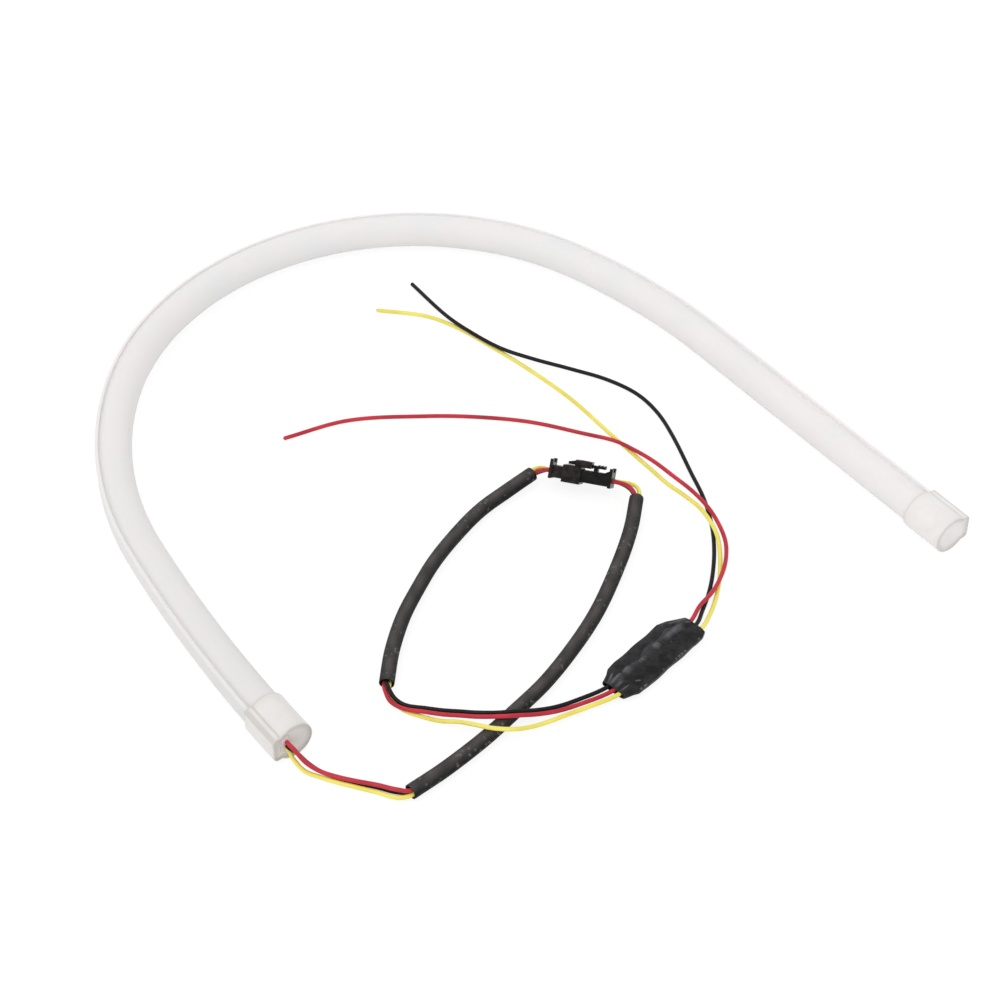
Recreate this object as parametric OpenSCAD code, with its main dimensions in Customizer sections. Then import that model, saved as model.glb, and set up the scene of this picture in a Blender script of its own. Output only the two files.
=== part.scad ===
/* [Light tube] */
// Length of the lamp over its two end caps
lamp_length = 600; // [560:5:680]
// Diameter of the round body of the soft tube
tube_d = 12; // [11:0.5:14]
// Wall of the round body
tube_wall = 1.2; // [0.8:0.1:1.6]
// Width of the flat mounting foot along the back of the tube
foot_width = 8; // [6:0.5:9]
// Thickness of the mounting foot
foot_thickness = 2.1; // [1.6:0.1:2.4]
// How far the foot stands out past the round body
foot_step = 1; // [0.6:0.1:1.5]
// Radius of the foot's long edges
foot_edge_r = 0.5; // [0.3:0.1:0.7]
// Distance from the tube's axis to the flat floor that the light strip sticks to
floor_offset = 2.4; // [2:0.1:2.8]

/* [Bends] */
// Place of the wire end along the surface
start_x = -74.5; // [-90:0.5:-60]
// Place of the wire end across the surface
start_y = -130.3; // [-140:0.5:-120]
// Radius of the nearly straight run at the wire end
bend_1_r = 620; // [560:10:700]
// Radius of the shoulder after it
bend_2_r = 135; // [125:5:145]
// Radius of the tight bend at the top
bend_3_r = 105; // [95:5:115]
// Radius of the bend that follows it
bend_4_r = 108; // [100:4:120]
// Radius of the last gentle bend before the straight run
bend_5_r = 225; // [200:5:250]

/* [End caps] */
// Length of each end cap
cap_length = 17; // [14:0.5:22]
// Wall of the cap around the tube
cap_wall = 0.9; // [0.7:0.1:1.3]
// Thickness of the cap's closed end
cap_end = 3; // [2:0.5:4]
// Room that the glue fills around the tube
cap_gap = 0.1; // [0.05:0.05:0.2]
// Width of the raised rim round the cap's end face
cap_rim = 0.7; // [0.5:0.1:1]
// Depth of the face inside that rim
cap_recess = 0.5; // [0.3:0.1:0.8]
// Room left inside the wire end's cap, where the wires turn to the strip
wire_room = 5; // [4:0.5:7]
// How much thinner the tube's foot is where a cap holds it
foot_relief = 0.1; // [0.05:0.05:0.2]

/* [Light strip] */
// Width of the flexible circuit strip
strip_width = 7.8; // [6:0.2:8]
// Thickness of the strip
strip_thickness = 0.4; // [0.2:0.1:0.5]
// Distance between neighbouring lamps on the strip
led_pitch = 7; // [6:0.5:10]
// Length of a lamp along the strip
led_length = 2.8; // [2.4:0.1:3.2]
// Width of a lamp across the strip
led_width = 3.5; // [3:0.1:4]
// Height of a lamp above the strip
led_height = 0.8; // [0.6:0.1:1.2]

/* [Wires and sleeves] */
// Outer diameter of one wire
wire_d = 1.5; // [1.2:0.1:1.6]
// Outer diameter of the black sleeves
sleeve_d = 5.2; // [5:0.1:5.6]
// Wall of the sleeves
sleeve_wall = 0.5; // [0.3:0.1:0.6]
// Distance between the wires where they leave the cap
exit_pitch = 1.8; // [1.7:0.05:1.9]
// Height of the middle wire above the tube's axis there
exit_rise = 0.8; // [0.4:0.1:1]

/* [Connector] */
// Length over the two halves when they are pushed together
connector_length = 22.6; // [22:0.2:26]
// Distance between neighbouring contacts
contact_pitch = 2.3; // [2.2:0.1:2.6]
// Width of the square channel that holds a contact
channel_width = 1.9; // [1.85:0.05:2]
// Wall of the plug outside its outer channels
plug_wall = 0.6; // [0.5:0.05:0.8]
// Height of the plug's body
plug_height = 4.3; // [4:0.1:4.8]
// Wall of the socket's collar
collar_wall = 0.8; // [0.6:0.1:1]
// Length of the socket's collar
collar_length = 6.6; // [6.2:0.1:7.4]
// Play between the plug and the collar
plug_play = 0.15; // [0.1:0.05:0.25]
// Thickness of the flange at each rear end
flange_thickness = 1.1; // [0.8:0.1:1.4]

/* [Control box] */
// Length of the shrink wrap
box_length = 40; // [36:1:46]
// Width of the wrap at its middle
box_width = 15; // [14.5:0.5:17]
// Height of the wrap at its middle
box_height = 5; // [4.8:0.2:6]
// Wall of the shrink wrap
wrap_wall = 0.5; // [0.3:0.1:0.6]
// Length of the circuit board inside
board_length = 29; // [27:1:31]
// Width of the circuit board
board_width = 9.4; // [9:0.2:9.8]
// Thickness of the circuit board
board_thickness = 1; // [0.8:0.1:1.2]
// Distance between the wires where they meet the board
board_pitch = 2.4; // [2.2:0.1:2.6]

/* [Hidden] */

round_fn = 48;
sweep_fn = 360;
// Small spaces between pieces that touch, and overlaps that make clean cuts
fit = 0.05;
cut = 0.1;

// The tube lies on its side: its foot faces outwards and its axis is level.
tube_r = tube_d / 2;
axis_z = tube_r + cap_gap + cap_wall;
foot_front = tube_r + foot_step;
bore_r = tube_r - tube_wall;

// The bends of the soft tube as it lies, from the wire end on.
// Each is a radius and the angle that it turns to the right, and a straight run ends the tube.
bends = [[bend_1_r, 9.5], [bend_2_r, 35], [bend_3_r, 77], [bend_4_r, 41.5], [bend_5_r, 17]];
start_point = [start_x, start_y];
start_heading = 128;

function bend_length(i) = bends[i][0] * bends[i][1] * PI / 180;
function bend_from(i) = i == 0 ? 0 : bend_from(i - 1) + bend_length(i - 1);
function bend_heading(i) = i == 0 ? start_heading : bend_heading(i - 1) - bends[i - 1][1];
function normal_at(heading) = [-sin(heading), cos(heading)];
function bend_centre(i) = bend_start(i) - bends[i][0] * normal_at(bend_heading(i));
function bend_start(i) = i == 0 ? start_point
    : bend_centre(i - 1) + bends[i - 1][0] * normal_at(bend_heading(i));

// The bend that a distance along the tube falls in, and the tube's heading and place there
function bend_of(s) = max([for (i = [0:len(bends)]) if (i == 0 || s >= bend_from(i)) i]);
function turned(i, run) = i == len(bends) ? 0 : run / bends[i][0] * 180 / PI;
function heading_at(s) = let (i = bend_of(s)) bend_heading(i) - turned(i, s - bend_from(i));
function axis_at(s) = let (i = bend_of(s))
    i == len(bends)
        ? bend_start(i) + (s - bend_from(i)) * [cos(heading_at(s)), sin(heading_at(s))]
        : bend_centre(i) + bends[i][0] * normal_at(heading_at(s));
// A point given by its distance along the tube, outwards from the axis, and above the axis
function lamp_point(s, out, rise) = let (p = axis_at(s) + out * normal_at(heading_at(s)))
    [p[0], p[1], axis_z + rise];

// Sweeps a flat outline, drawn with x outwards and y up, along one bend or the straight run
module along_bend(i, skip, run) {
    if (i == len(bends)) {
        translate([bend_start(i)[0], bend_start(i)[1], axis_z])
            rotate([0, 0, bend_heading(i)])
                translate([skip, 0, 0])
                    rotate([90, 0, 90])
                        linear_extrude(run) children();
    } else {
        translate([bend_centre(i)[0], bend_centre(i)[1], axis_z])
            rotate([0, 0, bend_heading(i) + 90 - turned(i, skip + run)])
                rotate_extrude(angle = turned(i, run), $fn = sweep_fn)
                    translate([bends[i][0], 0]) children();
    }
}

// Sweeps a flat outline along the whole path between two distances. Neighbouring bends stop
// a hair short of each other, and a collar over each joint makes them one solid.
// Outlines that cross a joint add $swell to their size, which is the collar's hair of extra wall.
joint_gap = 0.05;
joint_half = 0.2;
joint_swell = 0.02;
module along_lamp(from, to) {
    for (i = [0:len(bends)]) {
        first = i == 0 ? from : max(from, bend_from(i) + joint_gap);
        last = i == len(bends) ? to : min(to, bend_from(i + 1) - joint_gap);
        if (last > first) along_bend(i, first - bend_from(i), last - first, $swell = 0) children();
    }
    for (i = [1:len(bends)])
        if (from < bend_from(i) && bend_from(i) < to)
            joint_collar(i, $swell = joint_swell) children();
}

module joint_collar(i) {
    translate([bend_start(i)[0], bend_start(i)[1], axis_z])
        rotate([0, 0, bend_heading(i)])
            rotate([90, 0, 90])
                linear_extrude(2 * joint_half, center = true) children();
}

// Places a piece at a distance along the tube: x runs along it, y outwards and z up
module at_lamp(s) {
    translate([axis_at(s)[0], axis_at(s)[1], axis_z])
        rotate([0, 0, heading_at(s)]) children();
}

// A rectangle with round corners, given by its low corner and its size
module round_rect(low, size, r) {
    translate([low[0] + r, low[1]]) square([size[0] - 2 * r, size[1]]);
    translate([low[0], low[1] + r]) square([size[0], size[1] - 2 * r]);
    for (x = [low[0] + r, low[0] + size[0] - r], y = [low[1] + r, low[1] + size[1] - r])
        translate([x, y]) circle(r, $fn = round_fn);
}

// The outline of the tube, grown by a distance all round
module body_outline(grow) {
    circle(tube_r + grow, $fn = round_fn);
    round_rect([foot_front - foot_thickness - grow, -foot_width / 2 - grow],
        [foot_thickness + 2 * grow, foot_width + 2 * grow], foot_edge_r + grow);
}

// The hollow inside the tube: a round bore with a flat floor along the foot side
module bore_outline(shrink) {
    r = bore_r - shrink;
    intersection() {
        circle(r, $fn = round_fn);
        translate([-r - cut, -r - cut]) square([r + cut + floor_offset - shrink, 2 * r + 2 * cut]);
    }
}

tube_from = cap_end + wire_room;
tube_to = lamp_length - cap_end - cap_gap;

// The skin that is shaved off the back of the foot inside the caps
relief_past = 0.3;
module shaved_foot(from, to) {
    along_lamp(from, to)
        translate([foot_front - foot_relief, -foot_width / 2 - cut])
            square([foot_relief + cut, foot_width + 2 * cut]);
}

module light_tube() {
    color("whitesmoke") difference() {
        along_lamp(tube_from, tube_to) difference() {
            body_outline($swell);
            bore_outline($swell);
        }
        shaved_foot(tube_from - cut, cap_length + relief_past);
        shaved_foot(lamp_length - cap_length - relief_past, tube_to + cut);
    }
}

// An outline with two round ends, for the slot that the three wires leave by
exit_out = 3.2;
slot_width = wire_d + 1.4;
exit_rises = [exit_rise - exit_pitch, exit_rise, exit_rise + exit_pitch];
module slot_outline(grow) {
    translate([exit_out - slot_width / 2 - grow, exit_rises[0]])
        square([slot_width + 2 * grow, exit_rises[2] - exit_rises[0]]);
    for (rise = [exit_rises[0], exit_rises[2]])
        translate([exit_out, rise]) circle(slot_width / 2 + grow, $fn = round_fn);
}

// Each cap's pocket takes the tube's own outline, and a rim runs round its end face
cap_grow = cap_gap + cap_wall;

module wire_end_cap() {
    color("gainsboro") difference() {
        along_lamp(0, cap_length) body_outline(cap_grow);
        along_lamp(cap_end, cap_length + cut) body_outline(cap_gap);
        along_lamp(-cut, cap_recess) body_outline(cap_grow - cap_rim);
        along_lamp(-cut, cap_end + cut) slot_outline(fit);
    }
}

module blind_end_cap() {
    color("gainsboro") difference() {
        along_lamp(lamp_length - cap_length, lamp_length) body_outline(cap_grow);
        along_lamp(lamp_length - cap_length - cut, lamp_length - cap_end) body_outline(cap_gap);
        along_lamp(lamp_length - cap_recess, lamp_length + cut) body_outline(cap_grow - cap_rim);
    }
}

// The clear glue plug that fills the slot and stands round the wires as a bead
bead_height = 0.9;
bead_grow = 0.6;
module wire_seal() {
    color("white") difference() {
        union() {
            along_lamp(cap_recess - bead_height, cap_recess) slot_outline(bead_grow);
            along_lamp(cap_recess - bead_height / 2, cap_end) slot_outline(0);
        }
        along_lamp(cap_recess - bead_height - cut, cap_end + cut)
            for (rise = exit_rises)
                translate([exit_out, rise]) circle(wire_d / 2 + fit, $fn = round_fn);
    }
}

// The strip stands on its edge against the floor of the bore
strip_from = tube_from + 1;
strip_to = tube_to - 3;
strip_face = floor_offset - fit - strip_thickness;
module light_strip() {
    color("wheat") along_lamp(strip_from, strip_to)
        translate([strip_face - $swell, -strip_width / 2 - $swell])
            square([strip_thickness + 2 * $swell, strip_width + 2 * $swell]);
}

// Lamps take turns, white and amber, from past the solder pads to the far end
pad_length = 7;
led_margin = 4;
led_count = floor((strip_to - strip_from - pad_length - led_margin - led_length) / led_pitch) + 1;
function led_at(i) = strip_from + pad_length + led_length / 2 + i * led_pitch;
solder = 0.04;

module lamp_row(odd) {
    for (i = [odd:2:led_count - 1])
        at_lamp(led_at(i))
            translate([-led_length / 2, strip_face - solder - led_height, -led_width / 2])
                cube([led_length, led_height, led_width]);
}

module white_lamps() {
    color("lightyellow") lamp_row(0);
}

module amber_lamps() {
    color("orange") lamp_row(1);
}

// A pair of resistors, one for each colour, in every sixth space between lamps
resistor = [2, 0.5, 1.25];
resistor_rise = 2.4;
module strip_resistors() {
    color("dimgray")
        for (i = [2:6:led_count - 2])
            at_lamp((led_at(i) + led_at(i + 1)) / 2)
                for (rise = [-resistor_rise, resistor_rise])
                    translate([-resistor[0] / 2, strip_face - solder - resistor[1], rise - resistor[2] / 2])
                        cube(resistor);
}

// Soft routes. A curve runs through every point of a route with the same heading on both sides.
function unit(v) = v / norm(v);
function slope(route, i) = unit(route[min(i + 1, len(route) - 1)] - route[max(i - 1, 0)]);
function blend(a, b, ta, tb, t) =
    (2 * pow(t, 3) - 3 * t * t + 1) * a + (pow(t, 3) - 2 * t * t + t) * ta
    + (3 * t * t - 2 * pow(t, 3)) * b + (pow(t, 3) - t * t) * tb;
// Rings stand about one step apart, and closer where the route turns sharply
ring_turn = 24;
function turn(route, i) = acos(min(1, slope(route, i) * slope(route, i + 1)));
function curve(route, step) = concat(
    [for (i = [0:len(route) - 2])
        let (span = norm(route[i + 1] - route[i]),
            parts = max(1, round(span / step), ceil(turn(route, i) / ring_turn)))
            for (k = [0:parts - 1])
                blend(route[i], route[i + 1], span * slope(route, i), span * slope(route, i + 1), k / parts)],
    [route[len(route) - 1]]);

// Directions across a level route: to its left, and up from it
function left_of(route, i) = unit(cross([0, 0, 1], slope(route, i)));
function up_from(route, i) = cross(slope(route, i), left_of(route, i));
function ring(path, i, r, sides) = [for (k = [0:sides - 1])
    let (a = 360 * (k + 0.5) / sides)
        path[i] + r * (cos(a) * left_of(path, i) + sin(a) * up_from(path, i))];

// Two triangles between neighbouring points k and k + 1 of two rings
function strip_faces(a, b, sides) = [for (k = [0:sides - 1]) let (n = (k + 1) % sides)
    each [[a + k, b + k, b + n], [a + k, b + n, a + n]]];
function turned_over(faces) = [for (f = faces) [f[2], f[1], f[0]]];

// A solid round cord through a path
module cord(path, d, sides) {
    rings = len(path);
    last = (rings - 1) * sides;
    polyhedron(
        points = [for (i = [0:rings - 1]) each ring(path, i, d / 2, sides)],
        faces = concat(
            [for (i = [0:rings - 2]) each strip_faces(i * sides, (i + 1) * sides, sides)],
            [for (k = [1:sides - 2]) [0, k, k + 1]],
            [for (k = [1:sides - 2]) [last, last + k + 1, last + k]]));
}

// A hollow round sleeve, open at both ends
module sleeve(path, d, wall, sides) {
    rings = len(path);
    inner = rings * sides;
    last = (rings - 1) * sides;
    polyhedron(
        points = concat(
            [for (i = [0:rings - 1]) each ring(path, i, d / 2, sides)],
            [for (i = [0:rings - 1]) each ring(path, i, d / 2 - wall, sides)]),
        faces = concat(
            [for (i = [0:rings - 2]) each strip_faces(i * sides, (i + 1) * sides, sides)],
            [for (i = [0:rings - 2])
                each turned_over(strip_faces(inner + i * sides, inner + (i + 1) * sides, sides))],
            strip_faces(inner, 0, sides),
            turned_over(strip_faces(inner + last, last, sides))));
}

wire_sides = 8;
sleeve_sides = 12;
wire_step = 3 * wire_d;
sleeve_step = 2 * sleeve_d;

// The sleeves lie on the surface, and their ends lift to the connector
sleeve_z = 2.7;
lamp_sleeve_route = [[-37, -147.5, sleeve_z], [-26, -138, sleeve_z], [-15, -127, sleeve_z],
    [-5, -115.5, sleeve_z], [6, -102, sleeve_z], [16, -86, sleeve_z], [25, -68, sleeve_z],
    [32, -48.5, sleeve_z], [37, -31, 3], [39.5, -17, 4.2]];
box_sleeve_route = [[2.8, -4.5, 4], [-5.5, -11.8, 3.2], [-15, -21, sleeve_z], [-23.5, -33, sleeve_z],
    [-31, -46, sleeve_z], [-37, -60, sleeve_z], [-41.5, -73, sleeve_z], [-44.5, -87, sleeve_z],
    [-46, -102, sleeve_z]];

module lamp_sleeve() {
    color("#3c3837") sleeve(curve(lamp_sleeve_route, sleeve_step), sleeve_d, sleeve_wall, sleeve_sides);
}

module box_sleeve() {
    color("#3c3837") sleeve(curve(box_sleeve_route, sleeve_step), sleeve_d, sleeve_wall, sleeve_sides);
}

// Three wires fill a sleeve as a triangle that turns about the sleeve's middle
nest_r = 0.98;
function nested(route, phase, twist) = let (path = curve(route, sleeve_step)) [for (i = [0:len(path) - 1])
    let (a = phase + twist * i / (len(path) - 1))
        path[i] + nest_r * (cos(a) * left_of(path, i) + sin(a) * up_from(path, i))];

// The connector leans on its long edge: u runs along it, v across its contacts, w up from its face
connector_centre = [20.4, -7.2, 5.6];
connector_heading = -14.4;
connector_roll = 42;
connector_u = [cos(connector_heading), sin(connector_heading), 0];
connector_side = [-sin(connector_heading), cos(connector_heading), 0];
connector_v = cos(connector_roll) * connector_side - sin(connector_roll) * [0, 0, 1];
function connector_point(u, v) = connector_centre + u * connector_u + v * connector_v;
module at_connector() {
    translate(connector_centre)
        rotate([0, 0, connector_heading])
            rotate([-connector_roll, 0, 0]) children();
}

// The control box lies flat: u runs from its tail to its lead end, v to the left
box_centre = [42, -90];
box_heading = 48;
box_z = box_height / 2 + 0.1;
// The wrap's mouth at the lead end sits to one side, by this share of the box's width
mouth_shift = -0.12;
function box_point(u, v, w) = [box_centre[0] + u * cos(box_heading) - v * sin(box_heading),
    box_centre[1] + u * sin(box_heading) + v * cos(box_heading), box_z + w];
module at_box() {
    translate([box_centre[0], box_centre[1], box_z]) rotate([0, 0, box_heading]) children();
}

// Where a wire leaves the cap, and where it is soldered to the strip inside
pad_out = strip_face - wire_d / 2 - solder;
function cap_exit(rise) = [lamp_point(strip_from + 4, pad_out, rise), lamp_point(strip_from, pad_out, rise),
    lamp_point(cap_end, exit_out, rise), lamp_point(-0.6, exit_out, rise), lamp_point(-1.8, exit_out, rise)];

// Where a wire ends in its crimped contact, on the plug's and on the socket's side
plug_stop = connector_length / 2 - 5.5;
socket_stop = connector_length / 2 - 4.7;
function plug_entry(v) = [connector_point(connector_length / 2 + 0.6, v), connector_point(plug_stop, v)];
function socket_entry(v) = [connector_point(-socket_stop, v), connector_point(-connector_length / 2 - 0.6, v)];

// Where a wire is soldered to the board in the control box
board_w = -0.6;
wire_w = board_w + board_thickness / 2 + wire_d / 2 + solder;
solder_u = board_length / 2 - 2;
function tail_entry(v) = [box_point(-box_length / 2 - 0.5, v, 0),
    box_point(-board_length / 2 - 0.5, v, wire_w + fit), box_point(2 - solder_u, v, wire_w)];
function lead_exit(v) = [box_point(solder_u - 2, v, wire_w), box_point(board_length / 2 + 0.5, v, wire_w + fit),
    box_point(box_length / 2 + 0.5, v + mouth_shift * box_width, -0.2)];

// From the lamp to the connector
module lamp_red_wire() {
    color("crimson") cord(curve(concat(cap_exit(exit_rises[2]),
        [[-74.4, -135, 8.9], [-70.6, -137.5, 5.2], [-65.8, -139.4, 3], [-60.1, -141.2, 2.4],
         [-54.4, -142.7, 2.3], [-47.8, -144.3, 2.4], [-41.4, -146.8, 3.2]],
        nested(lamp_sleeve_route, 90, -30),
        [[36.6, -13.3, 6.5]],
        plug_entry(-contact_pitch)), wire_step), wire_d, wire_sides);
}

module lamp_black_wire() {
    color("black") cord(curve(concat(cap_exit(exit_rises[1]),
        [[-73.9, -134.6, 7], [-70.2, -136.4, 3.7], [-65.6, -138.4, 1.5], [-60, -140.3, 0.8],
         [-54.4, -142.1, 0.8], [-47.8, -144, 0.8], [-41.4, -146.6, 1.5]],
        nested(lamp_sleeve_route, -30, -30),
        [[37.1, -12.9, 4.9]],
        plug_entry(0)), wire_step), wire_d, wire_sides);
}

module lamp_yellow_wire() {
    color("gold") cord(curve(concat(cap_exit(exit_rises[0]),
        [[-74.9, -135.6, 5], [-71.1, -138.4, 2], [-66.1, -140.2, 1.2], [-60.4, -142.1, 0.8],
         [-54.6, -143.9, 0.8], [-47.9, -146, 0.8], [-41, -148.9, 1.7]],
        nested(lamp_sleeve_route, 210, -30),
        [[39.4, -10.9, 4.1]],
        plug_entry(contact_pitch)), wire_step), wire_d, wire_sides);
}

// From the connector to the control box
module box_red_wire() {
    color("crimson") cord(curve(concat(socket_entry(-contact_pitch),
        [[5.9, -4.9, 6.1]],
        nested(box_sleeve_route, 30, 180),
        [[-46.4, -105, 2.6], [-44.4, -109.8, 2.6], [-39.8, -112.8, 2.5], [-33, -114, 2.4],
         [-27.2, -115.4, 2.8], [-21.6, -117.4, 4.6], [-16.4, -119.3, 6.3], [-9.6, -119.5, 6.6],
         [-3.1, -118.2, 5.6], [3.4, -116.2, 3.8], [10, -114, 2.8], [16.8, -111.2, 2.6]],
        tail_entry(0)), wire_step), wire_d, wire_sides);
}

module box_black_wire() {
    color("black") cord(curve(concat(socket_entry(0),
        [[5.9, -3.8, 4.4]],
        nested(box_sleeve_route, 270, 180),
        [[-45.4, -104.6, 3.9], [-43.2, -108.5, 2.9], [-39.6, -111.2, 2.5], [-33, -112.4, 2.4],
         [-27.2, -113.7, 2.8], [-21.4, -115.7, 4.6], [-16.2, -117.6, 6.3], [-9.6, -117.9, 6.6],
         [-3.3, -116.5, 5.7], [2.9, -114.5, 3.8], [9.4, -112.3, 2.8], [16, -109.4, 2.6]],
        tail_entry(board_pitch)), wire_step), wire_d, wire_sides);
}

module box_yellow_wire() {
    color("gold") cord(curve(concat(socket_entry(contact_pitch),
        [[5.6, -1.9, 4.4]],
        nested(box_sleeve_route, 150, 180),
        [[-45.2, -105.2, 1.2], [-43.4, -108.6, 0.8], [-39.7, -112.2, 0.8], [-33.5, -114.9, 0.8],
         [-27.9, -117.2, 1.6], [-22.4, -119.7, 4.2], [-17, -122.5, 6.2], [-11, -124.3, 6.5],
         [-3.7, -123.8, 5.4], [2, -121.2, 3.6], [7.6, -118, 2.4], [13.3, -115, 2.2], [19.1, -112.3, 2.2]],
        tail_entry(-board_pitch)), wire_step), wire_d, wire_sides);
}

// Free leads, from the control box to their cut ends
module red_lead() {
    color("crimson") cord(curve(concat(lead_exit(board_pitch),
        [[59.2, -67, 2.5], [63.6, -61, 2.6], [66.8, -54.4, 2.6], [69.2, -46, 2.3], [69.8, -37, 2.3],
         [68, -28.5, 2.5], [64.6, -20, 2.6], [59.6, -12, 2.6], [53.4, -4.4, 2.4], [46, 3.8, 2.5],
         [39.6, 9.2, 2.6], [33, 14, 2.4], [22, 19.3, 1], [2.7, 25.6, 0.8], [-16.3, 28.3, 0.8],
         [-35.4, 28.8, 0.8], [-64, 26.5, 0.8], [-87, 17, 0.8]]),
        wire_step), wire_d, wire_sides);
}

module black_lead() {
    color("black") cord(curve(concat(lead_exit(0),
        [[60.2, -67.4, 0.9], [63, -58.5, 0.8], [64.8, -49, 0.8], [65.8, -38, 0.8], [65.6, -27, 0.8],
         [63.6, -14, 0.8], [59.8, -1, 0.8], [54, 18.5, 0.8], [48.9, 31, 0.8], [41.7, 41, 0.8],
         [31, 48.6, 0.9], [17.8, 53.4, 1.8], [3, 58.6, 2.5], [-9, 64.6, 2.6], [-22, 75.4, 2.6],
         [-30, 84.4, 2.2], [-42.7, 103.4, 0.9]]),
        wire_step), wire_d, wire_sides);
}

module yellow_lead() {
    color("gold") cord(curve(concat(lead_exit(-board_pitch),
        [[62.6, -69.4, 0.9], [65.4, -60.5, 0.8], [67, -51, 0.9], [67.6, -42, 1.7], [67, -34, 2.6],
         [64.8, -26.5, 2.7], [61.4, -19.6, 2.4], [56, -12, 1.2], [51, -6.4, 0.8], [46, 0.2, 0.8],
         [40.2, 7.8, 0.8], [31, 20, 0.8], [17.5, 38, 0.8], [3, 53.4, 0.8], [-10, 65.4, 0.8],
         [-24.5, 77.6, 0.8], [-37, 84.6, 0.8], [-55.5, 88, 0.8]]),
        wire_step), wire_d, wire_sides);
}

// The plug's body slides into the socket's collar, and its lever hooks under the collar's bar
plug_width = 2 * contact_pitch + channel_width + 2 * plug_wall;
collar_width = plug_width + 2 * (plug_play + collar_wall);
collar_height = plug_height + 2 * (plug_play + collar_wall);
half_length = connector_length / 2;
collar_to = 0.1;
collar_from = collar_to - collar_length;
collar_floor = 1;
flange_out = 0.9;
lever_width = 3.6;
lever_gap = 0.4;
lever_thickness = 0.9;
lever_low = collar_height / 2 + lever_gap;
lever_from = collar_from + 1.3;
lever_to = half_length - flange_thickness - 2;
foot_from = collar_to + 4;
foot_length = 1.5;
// The arch starts on the collar and reaches over the lever, with a bar across each end
arch_from = collar_from + 3.8;
arch_to = arch_from + 6;
bar_width = 1.5;
bar_gap = 0.15;
bar_thickness = 0.8;
cheek_thickness = 0.8;
hook_rise = 0.6;
grip_pitch = 1.1;
ear_width = 2.2;
ear_rise = 2.2;
web_length = 3.6;

// A block given by its ends along u, its width and its bottom and top
module block(from, to, width, low, high) {
    translate([from, -width / 2, low]) cube([to - from, width, high - low]);
}

module contact_channels(from, to) {
    for (v = [-contact_pitch, 0, contact_pitch])
        translate([0, v, 0]) block(from, to, channel_width, -channel_width / 2, channel_width / 2);
}

// The flange at a rear end, with an ear at each corner of the lever's side
module rear_flange(from, to) {
    block(from, to, plug_width + 2 * flange_out,
        -plug_height / 2 - flange_out / 2, plug_height / 2 + flange_out);
    for (side = [-1, 1])
        translate([0, side * (plug_width / 2 + flange_out - ear_width / 2), 0])
            block(from, to, ear_width, 0, plug_height / 2 + ear_rise);
}

module plug_housing() {
    tip = collar_from + collar_floor + plug_play;
    color("#1a1a1c") at_connector() difference() {
        union() {
            block(tip, half_length, plug_width, -plug_height / 2, plug_height / 2);
            rear_flange(half_length - flange_thickness, half_length);
            // Sloping webs that stiffen the ears
            for (side = [-1, 1])
                translate([0, side * (plug_width / 2 - 0.5), 0])
                    rotate([90, 0, 0])
                        linear_extrude(0.8, center = true)
                            polygon([[half_length - web_length, plug_height / 2 - cut],
                                [half_length - cut, plug_height / 2 - cut],
                                [half_length - cut, plug_height / 2 + ear_rise - 0.3]]);
            // The lever on its foot, with a hook at its front and grip ridges at its rear
            block(lever_from, lever_to, lever_width, lever_low, lever_low + lever_thickness);
            block(foot_from, foot_from + foot_length, lever_width, plug_height / 2 - cut, lever_low + cut);
            translate([0, -lever_width / 2, 0])
                rotate([-90, 0, 0])
                    mirror([0, 1, 0])
                        linear_extrude(lever_width)
                            polygon([[lever_from, lever_low + lever_thickness - cut],
                                [lever_from, lever_low + lever_thickness],
                                [arch_from - fit, lever_low + lever_thickness + hook_rise],
                                [arch_from - fit, lever_low + lever_thickness - cut]]);
            for (u = [lever_to - 0.5 : -grip_pitch : lever_to - 0.5 - 2 * grip_pitch])
                block(u, u + 0.5, lever_width, lever_low + cut, lever_low + lever_thickness + 0.35);
        }
        contact_channels(tip - cut, half_length + cut);
    }
}

module socket_housing() {
    color("#1a1a1c") at_connector() difference() {
        union() {
            block(-half_length, collar_from + collar_floor, plug_width, -plug_height / 2, plug_height / 2);
            rear_flange(-half_length, flange_thickness - half_length);
            block(collar_from, collar_to, collar_width, -collar_height / 2, collar_height / 2);
            // The arch: cheeks beside the lever, and bars across them that its hook catches
            for (side = [-1, 1])
                translate([0, side * (lever_width / 2 + plug_play + cheek_thickness / 2), 0])
                    block(arch_from, arch_to, cheek_thickness, collar_height / 2 - cut,
                        lever_low + lever_thickness + bar_gap + bar_thickness);
            for (u = [arch_from, arch_to - bar_width])
                block(u, u + bar_width, lever_width + 2 * (plug_play + cheek_thickness),
                    lever_low + lever_thickness + bar_gap,
                    lever_low + lever_thickness + bar_gap + bar_thickness);
        }
        block(collar_from + collar_floor, collar_to + cut, plug_width + 2 * plug_play,
            -plug_height / 2 - plug_play, plug_height / 2 + plug_play);
        contact_channels(-half_length - cut, collar_from + collar_floor + cut);
    }
}

// Contacts: a crimped barrel grips the end of each wire
barrel_d = 1.8;
barrel_length = 3;
pin_size = 0.64;
pin_tip = collar_to - 1.5;
module crimp_barrel(from, to) {
    translate([min(from, to), 0, 0]) rotate([0, 90, 0]) difference() {
        cylinder(h = abs(to - from), d = barrel_d, $fn = round_fn);
        translate([0, 0, -cut]) cylinder(h = abs(to - from) + 2 * cut, d = wire_d + 2 * solder, $fn = round_fn);
    }
}

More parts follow.
